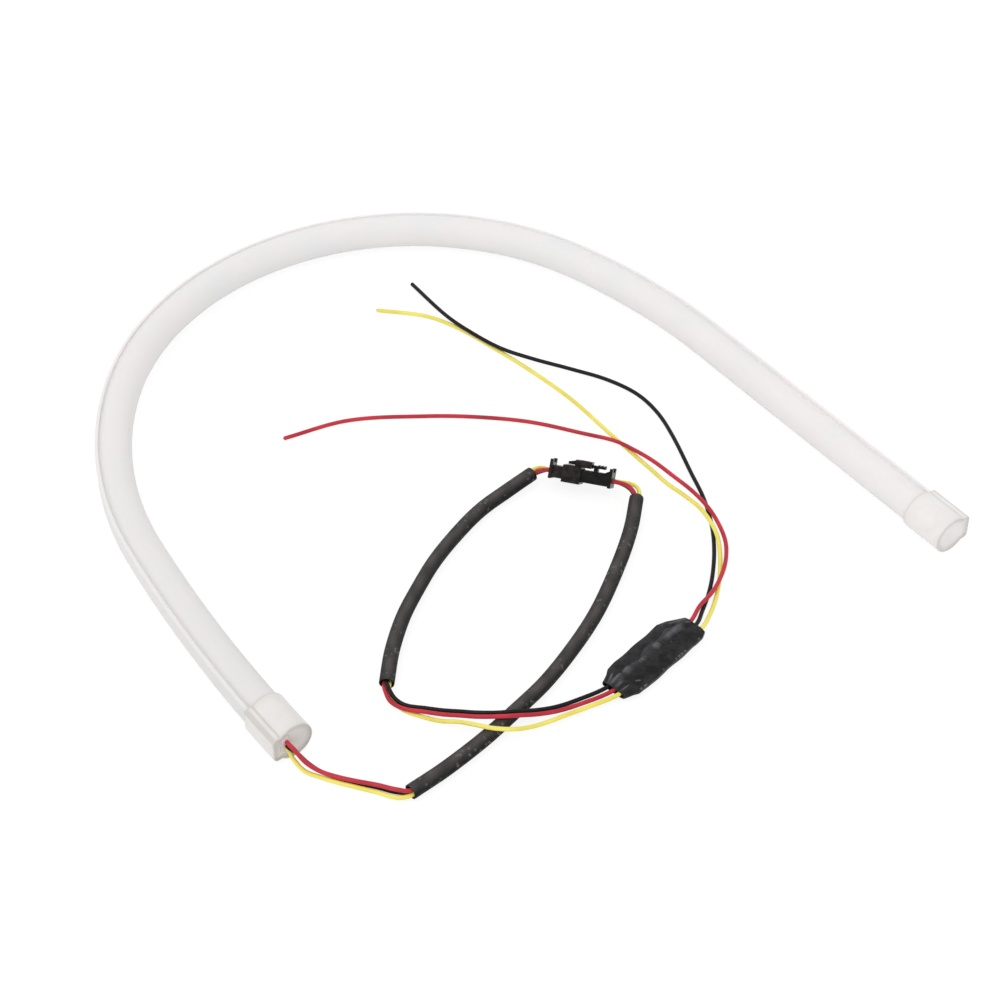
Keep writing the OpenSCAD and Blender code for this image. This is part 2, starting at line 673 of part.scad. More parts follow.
module plug_contacts() {
    front = collar_from + collar_floor + 2 * plug_play + 0.4;
    rear = plug_stop - 1;
    color("goldenrod") at_connector()
        for (v = [-contact_pitch, 0, contact_pitch])
            translate([0, v, 0]) {
                difference() {
                    block(front, rear, 1.6, -0.8, 0.8);
                    block(front - cut, pin_tip + 0.6, pin_size + 0.1, -pin_size / 2 - fit, pin_size / 2 + fit);
                }
                block(rear - cut, rear + 0.9, barrel_d * 0.6, -barrel_d / 2, -barrel_d / 2 + 0.3);
                crimp_barrel(rear + 0.8, rear + 0.8 + barrel_length);
            }
}

module socket_pins() {
    rear = 1 - socket_stop;
    color("goldenrod") at_connector()
        for (v = [-contact_pitch, 0, contact_pitch])
            translate([0, v, 0]) {
                block(rear - cut, pin_tip, pin_size, -pin_size / 2, pin_size / 2);
                block(rear - 0.9, rear, barrel_d * 0.6, -barrel_d / 2, pin_size / 2);
                crimp_barrel(rear - 0.8, rear - 0.8 - barrel_length);
            }
}

// The shrink wrap as stations along the box: place, width and height as shares of the middle's,
// and how far the middle of the section sits to the left
wrap_stations = [[-0.5, 0.66, 0.62, 0], [-0.42, 0.8, 0.74, 0], [-0.37, 0.94, 0.9, 0], [-0.26, 1, 1, 0],
    [-0.1, 0.99, 0.96, 0], [0.1, 0.99, 1, 0], [0.28, 1, 1, 0], [0.37, 0.92, 0.96, -0.04],
    [0.45, 0.76, 0.88, -0.1], [0.5, 0.62, 0.76, mouth_shift]];
wrap_sides = 20;
// Round-cornered section: the power makes it squarer than an ellipse
wrap_power = 0.6;
function soft(x) = sign(x) * pow(abs(x), wrap_power);
function wrap_ring(s, inset) = [for (k = [0:wrap_sides - 1]) let (a = 360 * (k + 0.5) / wrap_sides)
    [s[0] * box_length, s[3] * box_width + (s[1] * box_width / 2 - inset) * soft(cos(a)),
        (s[2] * box_height / 2 - inset) * soft(sin(a))]];

module control_wrap() {
    rings = len(wrap_stations);
    inner = rings * wrap_sides;
    last = (rings - 1) * wrap_sides;
    color("#2a2829") at_box() polyhedron(
        points = concat(
            [for (s = wrap_stations) each wrap_ring(s, 0)],
            [for (s = wrap_stations) each wrap_ring(s, wrap_wall)]),
        faces = concat(
            [for (i = [0:rings - 2]) each strip_faces(i * wrap_sides, (i + 1) * wrap_sides, wrap_sides)],
            [for (i = [0:rings - 2])
                let (row = inner + i * wrap_sides)
                    each turned_over(strip_faces(row, row + wrap_sides, wrap_sides))],
            strip_faces(inner, 0, wrap_sides),
            turned_over(strip_faces(inner + last, last, wrap_sides))));
}

board_top = board_w + board_thickness / 2;
module control_board() {
    color("seagreen") at_box()
        translate([-board_length / 2, -board_width / 2, board_w - board_thickness / 2])
            cube([board_length, board_width, board_thickness]);
}

// A small part soldered to the top of the board, given by its middle and its size
module on_board(place, size) {
    translate([place[0] - size[0] / 2, place[1] - size[1] / 2, board_top + solder]) cube(size);
}

// The chip with four gull-wing legs on each side
chip = [5, 3.9, 1.5];
chip_legs = 4;
leg = [0.45, 1, 0.25];
leg_pitch = 1.27;
module control_chip() {
    color("#202022") at_box() {
        on_board([0, 0], chip);
        for (side = [-1, 1], i = [0:chip_legs - 1])
            on_board([(i - (chip_legs - 1) / 2) * leg_pitch, side * (chip[1] / 2 + leg[1] / 2 - cut)], leg);
    }
}

transistor = [2.9, 1.4, 1.1];
module switching_transistors() {
    color("#202022") at_box()
        for (v = [-board_width / 2 + 2.2, board_width / 2 - 2.2])
            on_board([7, v], transistor);
}

module board_resistors() {
    color("dimgray") at_box()
        for (u = [-6, -4.4], v = [-2.2, 2.2])
            on_board([u, v], [0.8, 1.6, 0.5]);
}

diode = [4.2, 2.6, 1.5];
module input_diode() {
    color("#202022") at_box() on_board([-7.4 - diode[1] / 2, 0], [diode[1], diode[0], diode[2]]);
}

light_tube();
wire_end_cap();
blind_end_cap();
wire_seal();
light_strip();
white_lamps();
amber_lamps();
strip_resistors();
lamp_red_wire();
lamp_black_wire();
lamp_yellow_wire();
lamp_sleeve();
plug_housing();
plug_contacts();
socket_housing();
socket_pins();
box_red_wire();
box_black_wire();
box_yellow_wire();
box_sleeve();
control_wrap();
control_board();
control_chip();
switching_transistors();
board_resistors();
input_diode();
red_lead();
black_lead();
yellow_lead();
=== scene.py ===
# %% [markdown]
# # A flexible daytime running light
# This lamp is a soft milky tube with a strip of small lamps inside. It is glued along the edge of
# a headlight, so it bends to any line. A harness hangs from one end: three wires in a sleeve, a
# latched connector, a second sleeve, a control box in shrink wrap and three bare leads.
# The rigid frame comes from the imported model. Everything soft is made here as surfaces that
# numpy works out, so the bends are smooth and the creases are real geometry.

import bpy
import numpy as np
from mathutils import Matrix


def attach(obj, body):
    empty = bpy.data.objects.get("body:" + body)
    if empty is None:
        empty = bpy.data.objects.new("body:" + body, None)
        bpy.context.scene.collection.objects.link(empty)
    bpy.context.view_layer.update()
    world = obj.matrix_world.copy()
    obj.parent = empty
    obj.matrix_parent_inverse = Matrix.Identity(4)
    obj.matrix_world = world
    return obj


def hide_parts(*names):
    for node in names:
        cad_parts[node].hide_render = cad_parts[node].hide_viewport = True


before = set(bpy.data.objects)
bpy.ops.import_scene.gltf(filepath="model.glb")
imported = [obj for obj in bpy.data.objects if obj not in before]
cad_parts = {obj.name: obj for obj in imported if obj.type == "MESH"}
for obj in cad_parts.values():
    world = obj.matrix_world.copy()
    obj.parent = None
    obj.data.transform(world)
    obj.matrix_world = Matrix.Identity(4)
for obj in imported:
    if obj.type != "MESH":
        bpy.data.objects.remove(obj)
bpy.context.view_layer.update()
MM = 0.001
print("pieces in the frame:", len(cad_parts))

# %% [markdown]
# ## The camera
# The lamp lies on a table and the camera looks down on it at 45 degrees from the front. The
# perspective is weak, so a long lens far away gives the same lines as a product photograph.

# %% Camera
CAMERA_AT = (-0.00864, -0.6587, 0.6449)
CAMERA_PITCH = np.radians(45)
CAMERA_LENS = 92.6


def add_object(name, data):
    """A new object in the scene that shows the given data."""
    new_object = bpy.data.objects.new(name, data)
    bpy.context.scene.collection.objects.link(new_object)
    return new_object


camera_data = bpy.data.cameras.new("camera")
camera_data.lens = CAMERA_LENS
camera = add_object("camera", camera_data)
camera.location = CAMERA_AT
camera.rotation_euler = (CAMERA_PITCH, 0, 0)
bpy.context.scene.camera = camera
print("camera lens, mm:", CAMERA_LENS)

# %% [markdown]
# ## From a grid of points to a mesh
# Almost every piece here is a grid: rows that follow a path, and columns that go round it. One
# function turns such a grid into a mesh, so that each piece is only a formula for its points.
# All lengths are worked out in millimetres and become metres in the mesh.

# %% A skin over a grid
def grid_faces(rows, columns, joined):
    """Quads between neighbouring rows. The corners of quad (i, k) lie in rows i and i + 1 and in
    columns k and k + 1, and the last column meets the first. With joined, the rows do as well."""
    i, k = np.meshgrid(np.arange(rows if joined else rows - 1), np.arange(columns), indexing="ij")
    i, k = i.ravel(), k.ravel()
    next_i, next_k = (i + 1) % rows, (k + 1) % columns
    corners = [(i, k), (i, next_k), (next_i, next_k), (next_i, k)]
    return np.column_stack([a * columns + b for a, b in corners])


def fan_faces(ring, centre):
    """Triangles from each edge of a ring to one centre point."""
    return np.column_stack([ring, np.full(len(ring), centre), np.roll(ring, -1)])


def skin(name, grid, joined=False):
    """A closed mesh over a grid of points in millimetres. Open ends are closed by a fan to the
    middle of the end row."""
    rows, columns, _ = grid.shape
    points = grid.reshape(-1, 3)
    faces = grid_faces(rows, columns, joined).tolist()
    if not joined:
        points = np.vstack([points, grid[0].mean(0), grid[-1].mean(0)])
        first, last = np.arange(columns), np.arange(columns) + (rows - 1) * columns
        faces += fan_faces(first, len(points) - 2).tolist()
        faces += fan_faces(last[::-1], len(points) - 1).tolist()
    mesh = bpy.data.meshes.new(name)
    mesh.from_pydata((points * MM).tolist(), [], faces)
    mesh.polygons.foreach_set("use_smooth", np.ones(len(mesh.polygons), dtype=bool))
    return add_object(name, mesh)


# %% [markdown]
# Dust, darkening and painted light follow a piece's shape: dust lies on top, painted shade in
# corners and painted highlights on raised folds. So a grid may carry one number for each point,
# from 0 where it is plain to 1 where it is most marked, and its finish mixes in a second colour by
# that number.

# %% Wear and painted light, as a value at each point
def write_wear_and_light(piece, values):
    """Keeps one number for each point of the grid, for wear and painted light, which a finish
    reads by name.
    """
    piece.data.attributes.new("wear_and_light", "FLOAT", "POINT").data.foreach_set("value", values.ravel())


def wall(name, outer, inner, wear_and_light):
    """The outer rows, then the inner rows backwards. The inside gets 0."""
    piece = skin(name, np.concatenate([outer, inner[::-1]]), joined=True)
    write_wear_and_light(piece, np.concatenate([wear_and_light, 0 * wear_and_light]))
    return piece


# %% [markdown]
# ## Soft routes
# A cord is a smooth curve through a few listed points. Between two points it is
# a cubic Hermite piece: it takes the heading at each point from that point's two neighbours, so
# one piece runs into the next with no kink.

# %% Curves through chosen points
def headings(points):
    """Unit direction at each point, along the line from the point before it to the point after."""
    chord = np.vstack([points[1:], points[-1:]]) - np.vstack([points[:1], points[:-1]])
    return chord / np.linalg.norm(chord, axis=1, keepdims=True)


def steps(path):
    """The distances between neighbouring points."""
    return np.linalg.norm(np.diff(path, axis=0), axis=1)


SHARP_TURN = 24


def curve(route, step):
    """Points about one step apart, and closer where the route turns by more than SHARP_TURN."""
    route = np.asarray(route, float)
    heading = headings(route)
    span = steps(route)
    bend = np.degrees(np.arccos(np.clip((heading[:-1] * heading[1:]).sum(1), -1, 1)))
    parts = np.maximum(np.round(span / step), np.ceil(bend / SHARP_TURN))
    parts = np.maximum(1, parts).astype(int)
    i = np.repeat(np.arange(len(span)), parts)
    t = ((np.arange(len(i)) - np.repeat(np.cumsum(parts) - parts, parts)) / parts[i])[:, None]
    reach = span[i][:, None]
    inner = ((2 * t**3 - 3 * t**2 + 1) * route[i] + (t**3 - 2 * t**2 + t) * reach * heading[i]
             + (3 * t**2 - 2 * t**3) * route[i + 1] + (t**3 - t**2) * reach * heading[i + 1])
    return np.vstack([inner, route[-1:]])


def sideways(path):
    """The directions to the left of a path and up from it, at each of its points."""
    along = headings(path)
    left = np.cross([0, 0, 1], along)
    left /= np.linalg.norm(left, axis=1, keepdims=True)
    return left, np.cross(along, left)


def path_length(path):
    return float(steps(path).sum())


# %% Rings round a path
def rings(path, radius, columns):
    """One circle of the given radius at each point: left times cos a plus up times sin a. The
    radius is one number, a column with one for each row, or a whole grid."""
    left, up = sideways(path)
    a = 2 * np.pi * (np.arange(columns) + 0.5) / columns
    r = np.broadcast_to(radius, (len(path), columns))
    turned = np.cos(a)[None, :, None] * left[:, None] + np.sin(a)[None, :, None] * up[:, None]
    return path[:, None] + r[:, :, None] * turned


# %% [markdown]
# ## Where the lamp's tube lies
# The tube lies in five gentle bends and a straight run. At a distance s along it, its place is
# the bend's centre plus its radius along the outward normal. The foot faces outwards.

# %% The lamp's path
BENDS = [(620, 9.5), (135, 35), (105, 77), (108, 41.5), (225, 17)]
START, START_HEADING = np.array([-74.5, -130.3]), 128.0
AXIS_Z = 7.0
LAMP_LENGTH = 600.0


def outward(heading):
    """The unit direction to the left of a heading: minus its sine, then its cosine."""
    a = np.radians(heading)
    return np.stack([-np.sin(a), np.cos(a)], axis=-1)


bend_from, bend_heading, bend_start = [0.0], [START_HEADING], [START]
for radius, angle in BENDS:
    centre = bend_start[-1] - radius * outward(bend_heading[-1])
    bend_from.append(bend_from[-1] + radius * np.radians(angle))
    bend_heading.append(bend_heading[-1] - angle)
    bend_start.append(centre + radius * outward(bend_heading[-1]))
bend_from, bend_heading, bend_start = map(np.array, (bend_from, bend_heading, bend_start))
bend_radius = np.array([radius for radius, _ in BENDS] + [np.inf])


def lamp_axis(s):
    """Place and heading at distances s. A bend's chord is worked out from its centre, and the
    straight run is start plus distance along the heading."""
    s = np.atleast_1d(np.asarray(s, float))
    i = np.clip(np.searchsorted(bend_from, s, side="right") - 1, 0, len(BENDS))
    run, r, out = s - bend_from[i], bend_radius[i], outward(bend_heading[i])
    heading = bend_heading[i] - np.degrees(run / r)
    along = np.stack([out[:, 1], -out[:, 0]], axis=1)
    bent = np.where(np.isinf(r), 0, r)[:, None] * (outward(heading) - out)
    straight = np.where(np.isinf(r), run, 0)[:, None] * along
    return bend_start[i] + bent + straight, heading


def lamp_point(s, out, rise):
    """A point given by its distance along the lamp, outwards from its axis, and above it."""
    place, heading = lamp_axis(s)
    flat = place + np.atleast_1d(out)[:, None] * outward(heading)
    return np.column_stack([flat, np.full(len(flat), AXIS_Z) + rise])


def lamp_grid(s, outlines):
    """Rows of outline points carried along the lamp: x of the outline runs outwards and y up."""
    place, heading = lamp_axis(s)
    flat = place[:, None] + outlines[:, :, :1] * outward(heading)[:, None]
    return np.concatenate([flat, AXIS_Z + outlines[:, :, 1:]], axis=2)


far_point = lamp_point(LAMP_LENGTH, 0, 0)[0]
print("the lamp's far end is at", far_point.round(2))

# %% [markdown]
# ## The harness
# The cords come before the looks, because they fill the view. Each wire starts inside the lamp's
# cap or the control box, and its route repeats the points that the solid model uses.

# %% Sizes of the harness
WIRE_D, SLEEVE_D, SLEEVE_WALL = 1.5, 5.2, 0.5
EXIT_OUT, EXIT_RISE, EXIT_PITCH = 3.2, 0.8, 1.8
CONTACT_PITCH, BOARD_PITCH = 2.3, 2.4
SLEEVE_STEP, WIRE_STEP = 10.4, 0.8

# %% The connector's and the control box's places
CONNECTOR_AT, CONNECTOR_HEADING, CONNECTOR_ROLL = np.array([20.4, -7.2, 5.6]), -14.4, 42.0
CONNECTOR_HALF, PLUG_STOP, SOCKET_STOP = 11.3, 5.8, 6.6
BOX_AT, BOX_HEADING = np.array([42, -90, 2.6]), 48.0
BOX_LENGTH, BOX_WIDTH, BOX_HEIGHT, BOARD_LENGTH = 40.0, 15.0, 5.0, 29.0
MOUTH_SHIFT = -0.12 * BOX_WIDTH

UP = np.array([0, 0, 1])


def level_axes(heading):
    """Two level directions: along a heading in degrees, and to its left."""
    a = np.radians(heading)
    return np.array([np.cos(a), np.sin(a), 0]), np.array([-np.sin(a), np.cos(a), 0])


# The connector is rolled about its own length, so its sideways direction leans down
roll = np.radians(CONNECTOR_ROLL)
CONNECTOR_U, level_v = level_axes(CONNECTOR_HEADING)
CONNECTOR_V = np.cos(roll) * level_v - np.sin(roll) * UP
BOX_U, BOX_V = level_axes(BOX_HEADING)


def connector_point(u, v):
    """The place u along the connector and v across it from its middle."""
    return CONNECTOR_AT + u * CONNECTOR_U + v * CONNECTOR_V


def box_point(u, v, w):
    """The place u along the box, v across it and w over its middle."""
    return BOX_AT + u * BOX_U + v * BOX_V + w * UP


# %% Routes of the sleeves
lamp_sleeve_route = [
    [-37, -147.5, 2.7], [-26, -138, 2.7], [-15, -127, 2.7], [-5, -115.5, 2.7], [6, -102, 2.7],
    [16, -86, 2.7], [25, -68, 2.7], [32, -48.5, 2.7], [37, -31, 3], [39.5, -17, 4.2]]
box_sleeve_route = [
    [2.8, -4.5, 4], [-5.5, -11.8, 3.2], [-15, -21, 2.7], [-23.5, -33, 2.7], [-31, -46, 2.7],
    [-37, -60, 2.7], [-41.5, -73, 2.7], [-44.5, -87, 2.7], [-46, -102, 2.7]]

NEST_R = 0.98


def nested(route, phase, twist):
    """A wire inside a sleeve: it stays NEST_R from the sleeve's middle and turns by twist."""
    path = curve(route, SLEEVE_STEP)
    left, up = sideways(path)
    a = np.radians(phase + twist * np.linspace(0, 1, len(path)))[:, None]
    return path + NEST_R * (np.cos(a) * left + np.sin(a) * up)


# %% Routes of the wires' ends
# Where a wire leaves the cap, a housing or the film, and where it ends inside
STRIP_FROM, CAP_END, PAD_OUT = 9.0, 3.0, 1.16
WIRE_W, EDGE_W = 0.69, 0.69 + 0.05
PAD_U, EDGE_U, MOUTH_U = 10.5, BOARD_LENGTH / 2 + 0.5, BOX_LENGTH / 2 + 0.5


def cap_exit(rise):
    s = [STRIP_FROM + 4, STRIP_FROM, CAP_END, -0.6, -1.8]
    return lamp_point(s, [PAD_OUT] * 2 + [EXIT_OUT] * 3, rise)


def plug_entry(v):
    return [connector_point(CONNECTOR_HALF + 0.6, v), connector_point(PLUG_STOP, v)]


def socket_entry(v):
    return [connector_point(-SOCKET_STOP, v), connector_point(-CONNECTOR_HALF - 0.6, v)]


def tail_entry(v):
    return [box_point(-MOUTH_U, v, 0), box_point(-EDGE_U, v, EDGE_W), box_point(-PAD_U, v, WIRE_W)]


def lead_exit(v):
    return [box_point(PAD_U, v, WIRE_W), box_point(EDGE_U, v, EDGE_W),
            box_point(MOUTH_U, v + MOUTH_SHIFT, -0.2)]


# %% Routes of the wires
routes = {
    "lamp_red_wire": [cap_exit(EXIT_RISE + EXIT_PITCH), [
        [-74.4, -135, 8.9], [-70.6, -137.5, 5.2], [-65.8, -139.4, 3], [-60.1, -141.2, 2.4],
        [-54.4, -142.7, 2.3], [-47.8, -144.3, 2.4], [-41.4, -146.8, 3.2]],
        nested(lamp_sleeve_route, 90, -30), [[36.6, -13.3, 6.5]], plug_entry(-CONTACT_PITCH)],
    "lamp_black_wire": [cap_exit(EXIT_RISE), [
        [-73.9, -134.6, 7], [-70.2, -136.4, 3.7], [-65.6, -138.4, 1.5], [-60, -140.3, 0.8],
        [-54.4, -142.1, 0.8], [-47.8, -144, 0.8], [-41.4, -146.6, 1.5]],
        nested(lamp_sleeve_route, -30, -30), [[37.1, -12.9, 4.9]], plug_entry(0)],
    "lamp_yellow_wire": [cap_exit(EXIT_RISE - EXIT_PITCH), [
        [-74.9, -135.6, 5], [-71.1, -138.4, 2], [-66.1, -140.2, 1.2], [-60.4, -142.1, 0.8],
        [-54.6, -143.9, 0.8], [-47.9, -146, 0.8], [-41, -148.9, 1.7]],
        nested(lamp_sleeve_route, 210, -30), [[39.4, -10.9, 4.1]], plug_entry(CONTACT_PITCH)],
    "box_red_wire": [socket_entry(-CONTACT_PITCH), [[5.9, -4.9, 6.1]],
                     nested(box_sleeve_route, 30, 180), [
        [-46.4, -105, 2.6], [-44.4, -109.8, 2.6], [-39.8, -112.8, 2.5], [-33, -114, 2.4],
        [-27.2, -115.4, 2.8], [-21.6, -117.4, 4.6], [-16.4, -119.3, 6.3], [-9.6, -119.5, 6.6],
        [-3.1, -118.2, 5.6], [3.4, -116.2, 3.8], [10, -114, 2.8], [16.8, -111.2, 2.6]],
        tail_entry(0)],
    "box_black_wire": [socket_entry(0), [[5.9, -3.8, 4.4]], nested(box_sleeve_route, 270, 180), [
        [-45.4, -104.6, 3.9], [-43.2, -108.5, 2.9], [-39.6, -111.2, 2.5], [-33, -112.4, 2.4],
        [-27.2, -113.7, 2.8], [-21.4, -115.7, 4.6], [-16.2, -117.6, 6.3], [-9.6, -117.9, 6.6],
        [-3.3, -116.5, 5.7], [2.9, -114.5, 3.8], [9.4, -112.3, 2.8], [16, -109.4, 2.6]],
        tail_entry(BOARD_PITCH)],
    "box_yellow_wire": [socket_entry(CONTACT_PITCH), [[5.6, -1.9, 4.4]],
                        nested(box_sleeve_route, 150, 180), [
        [-45.2, -105.2, 1.2], [-43.4, -108.6, 0.8], [-39.7, -112.2, 0.8], [-33.5, -114.9, 0.8],
        [-27.9, -117.2, 1.6], [-22.4, -119.7, 4.2], [-17, -122.5, 6.2], [-11, -124.3, 6.5],
        [-3.7, -123.8, 5.4], [2, -121.2, 3.6], [7.6, -118, 2.4], [13.3, -115, 2.2],
        [19.1, -112.3, 2.2]], tail_entry(-BOARD_PITCH)],
    "red_lead": [lead_exit(BOARD_PITCH), [
        [59.2, -67, 2.5], [63.6, -61, 2.6], [66.8, -54.4, 2.6], [69.2, -46, 2.3], [69.8, -37, 2.3],
        [68, -28.5, 2.5], [64.6, -20, 2.6], [59.6, -12, 2.6], [53.4, -4.4, 2.4], [46, 3.8, 2.5],
        [39.6, 9.2, 2.6], [33, 14, 2.4], [22, 19.3, 1], [2.7, 25.6, 0.8], [-16.3, 28.3, 0.8],
        [-35.4, 28.8, 0.8], [-64, 26.5, 0.8], [-87, 17, 0.8]]],
    "black_lead": [lead_exit(0), [
        [60.2, -67.4, 0.9], [63, -58.5, 0.8], [64.8, -49, 0.8], [65.8, -38, 0.8], [65.6, -27, 0.8],
        [63.6, -14, 0.8], [59.8, -1, 0.8], [54, 18.5, 0.8], [48.9, 31, 0.8], [41.7, 41, 0.8],
        [31, 48.6, 0.9], [17.8, 53.4, 1.8], [3, 58.6, 2.5], [-9, 64.6, 2.6], [-22, 75.4, 2.6],
        [-30, 84.4, 2.2], [-42.7, 103.4, 0.9]]],
    "yellow_lead": [lead_exit(-BOARD_PITCH), [
        [62.6, -69.4, 0.9], [65.4, -60.5, 0.8], [67, -51, 0.9], [67.6, -42, 1.7], [67, -34, 2.6],
        [64.8, -26.5, 2.7], [61.4, -19.6, 2.4], [56, -12, 1.2], [51, -6.4, 0.8], [46, 0.2, 0.8],
        [40.2, 7.8, 0.8], [31, 20, 0.8], [17.5, 38, 0.8], [3, 53.4, 0.8], [-10, 65.4, 0.8],
        [-24.5, 77.6, 0.8], [-37, 84.6, 0.8], [-55.5, 88, 0.8]]]}
wire_paths = {name: curve(np.vstack(parts), WIRE_STEP) for name, parts in routes.items()}
for name, path in wire_paths.items():
    print(f"{name}: {path_length(path):.0f} mm long")

# %% [markdown]
# ## Wires
# A wire is a round tube carried along its path. A cut end isn't a sharp disc: the blade rounds
# the insulation's edge, and the bare lead ends show their twisted core.

# %% Make the wires
WIRE_COLUMNS, CUT_ROUND = 16, 0.12


def closed_ends(path, radius, edge):
    """The path and radii with extra rows at each end, on a quarter circle of radius edge."""
    a = np.radians([0, 30, 60, 90])
    along = headings(path)
    shrink = radius - edge * (1 - np.sin(a))
    inset = edge * (1 - np.cos(a))[:, None]
    start, end = path[0] + along[0] * inset, path[-1] - along[-1] * inset[::-1]
    middle = path[1:-1]
    return (np.vstack([start, middle, end]),
            np.concatenate([shrink, np.full(len(middle), radius), shrink[::-1]]))


wires = {}
for name, path in wire_paths.items():
    line, radii = closed_ends(path, WIRE_D / 2, CUT_ROUND)
    wires[name] = skin(name + "_cord", rings(line, radii[:, None], WIRE_COLUMNS))
print("wires made:", len(wires))

# %% [markdown]
# The core of a cut lead is seven thin strands that stand a hair out of the insulation. Seven
# small tubes twisted about one line take few faces and catch the light as copper does.

# %% Cores of the cut leads
STRAND_D, STRAND_OUT, STRAND_LENGTH = 0.27, 0.35, 1.6
STRAND_ROWS, STRAND_TWIST = 8, 1.2


def core_grid(path, k):
    """Strand k of the core: a short helix about the lead's last stretch, or its middle for 6."""
    end, along = path[-1], headings(path)[-1]
    line = end + along * np.linspace(-STRAND_LENGTH, STRAND_OUT, STRAND_ROWS)[:, None]
    left, up = sideways(line)
    turn = (np.radians(60 * k) + np.linspace(0, STRAND_TWIST, STRAND_ROWS))[:, None]
    away = 0 if k == 6 else STRAND_D * 1.02
    return rings(line + away * (np.cos(turn) * left + np.sin(turn) * up), STRAND_D / 2, 8)


def joined_piece(name, grids):
    """One mesh from several closed grids."""
    parts = [skin(f"{name}_{k}", grid) for k, grid in enumerate(grids)]
    whole = parts[0]
    with bpy.context.temp_override(active_object=whole, selected_editable_objects=parts):
        bpy.ops.object.join()
    whole.name = name
    return whole


cores = {name: joined_piece(name + "_core", [core_grid(wire_paths[name], k) for k in range(7)])
         for name in ("red_lead", "black_lead", "yellow_lead")}
print("cores made:", len(cores))

# %% [markdown]
# ## Sleeves
# A sleeve is a loose vinyl hose. It isn't quite round, and its wall waves where the wires inside
# push against it. Both are sines added to the radius. What shows of the black hose is dust and a
# painted sheen along its upper side, which its value stands for.

# %% Make the sleeves
SLEEVE_COLUMNS, SLEEVE_ROW = 32, 1.2
# The wall's waves: height in mm, turns round the sleeve, length along it in mm, and seeds of shift
SLEEVE_WAVES = [(0.05, 2, 17, 1), (0.03, 3, -9, 2), (0.02, 5, 4.3, 0)]
# The cut ends flare by LIP over about LIP_LENGTH, and their outer edge is rounded off
LIP, LIP_LENGTH, LIP_ROUND = 0.06, 0.8, 0.08


def sleeve_grid(path, seed):
    """Outer rows at the sleeve's radius with slow waves, and inner rows one wall inside. After
    them comes the upper side's paling, as sin(a)^2.5: dust there, with a painted sheen, broken up
    in patches and in streaks along the sleeve."""
    s = np.concatenate([[0], np.cumsum(steps(path))])[:, None]
    a = 2 * np.pi * (np.arange(SLEEVE_COLUMNS) + 0.5) / SLEEVE_COLUMNS
    wave = sum(height * np.sin(turns * a + s / length + shift * seed)
               for height, turns, length, shift in SLEEVE_WAVES)
    lip = LIP * np.exp(-np.minimum(s, s[-1] - s) / LIP_LENGTH)
    outer = SLEEVE_D / 2 - 0.04 + wave + lip
    outer[[0, -1]] -= LIP_ROUND
    inner = SLEEVE_D / 2 - SLEEVE_WALL + wave * 0.6
    patches = np.sin(s / 6.3 + a) * np.sin(s / 2.9 - 2 * a + seed)
    streaks = np.sin(s / 2.3 + 9 * a + seed) * np.sin(s / 5.1 - 7 * a)
    # Dust and a painted sheen on the upper side
    dust_and_sheen = np.clip(np.sin(a), 0, 1) ** 2.5 * (0.72 + 0.16 * patches + 0.22 * streaks)
    return rings(path, outer, SLEEVE_COLUMNS), rings(path, inner, SLEEVE_COLUMNS), dust_and_sheen


sleeves = {}
for name, route, seed in (("lamp_sleeve", lamp_sleeve_route, 0.4),
                          ("box_sleeve", box_sleeve_route, 1.9)):
    path = curve(route, SLEEVE_ROW)
    wire_paths[name] = path
    sleeves[name] = wall(name + "_hose", *sleeve_grid(path, seed))
    print(f"{name}: {path_length(path):.0f} mm long")

# %% [markdown]
# ## The lamp's tube
# The tube is extruded silicone. Its section is a circle with a flat foot, and a groove runs along
# each side where the two meet. The outline is built from arcs, spaced evenly and then averaged
# with its neighbours, which rounds the groove as an extrusion die does. The tube is greyer at the
# end with the wires: its value is 1 there and falls evenly to 0 further on.

# %% The section of the tube
TUBE_R, BORE_R, FLOOR_OUT = 6.0, 4.8, 2.4
FOOT_WIDTH, FOOT_FRONT, FOOT_THICKNESS, FOOT_EDGE_R = 8.0, 7.0, 2.1, 0.5
SECTION_POINTS = 160


def arc(centre, r, start, end, count):
    """Points on a circle from one angle in degrees to another."""
    a = np.radians(np.linspace(start, end, count))
    return np.array(centre) + r * np.column_stack([np.cos(a), np.sin(a)])


def even(outline, count=SECTION_POINTS):
    """The same closed outline with its points the same distance apart."""
    closed = np.vstack([outline, outline[:1]])
    s = np.concatenate([[0], np.cumsum(steps(closed))])
    at = np.linspace(0, s[-1], count, endpoint=False)
    return np.column_stack([np.interp(at, s, closed[:, k]) for k in (0, 1)])


def softened(outline, rounds=1):
    """Each point moves to a quarter of each neighbour plus half of itself."""
    for _ in range(rounds):
        outline = (np.roll(outline, 1, 0) + 2 * outline + np.roll(outline, -1, 0)) / 4
    return outline


def tube_section(grow=0.0, rounds=1):
    """Foot corners, groove and round body. The groove is where the circle of the body crosses the
    circle of the foot's corner: a from the axis on the line of centres and h beside it."""
    body, edge = TUBE_R + grow, FOOT_EDGE_R + grow
    back = np.array([FOOT_FRONT - FOOT_THICKNESS + FOOT_EDGE_R, FOOT_WIDTH / 2 - FOOT_EDGE_R])
    front = np.array([FOOT_FRONT - FOOT_EDGE_R, back[1]])
    d = np.hypot(*back)
    a = (body**2 - edge**2 + d**2) / (2 * d)
    h = np.sqrt(body**2 - a**2)
    groove = a * back / d + h * np.array([-back[1], back[0]]) / d
    to_groove = np.degrees(np.arctan2(*(groove - back)[::-1]))
    from_axis = np.degrees(np.arctan2(*groove[::-1]))
    half = np.vstack([arc(front, edge, 0, 90, 12), arc(back, edge, 90, to_groove, 12),
                      arc((0, 0), body, from_axis, 180, 80)])
    return softened(even(np.vstack([half, half[-2::-1] * [1, -1]])), rounds)


def bore_section():
    """A round bore cut flat on the foot's side, where the light strip sticks."""
    half_angle = np.degrees(np.arccos(FLOOR_OUT / BORE_R))
    return softened(even(arc((0, 0), BORE_R, half_angle, 360 - half_angle, 120)))


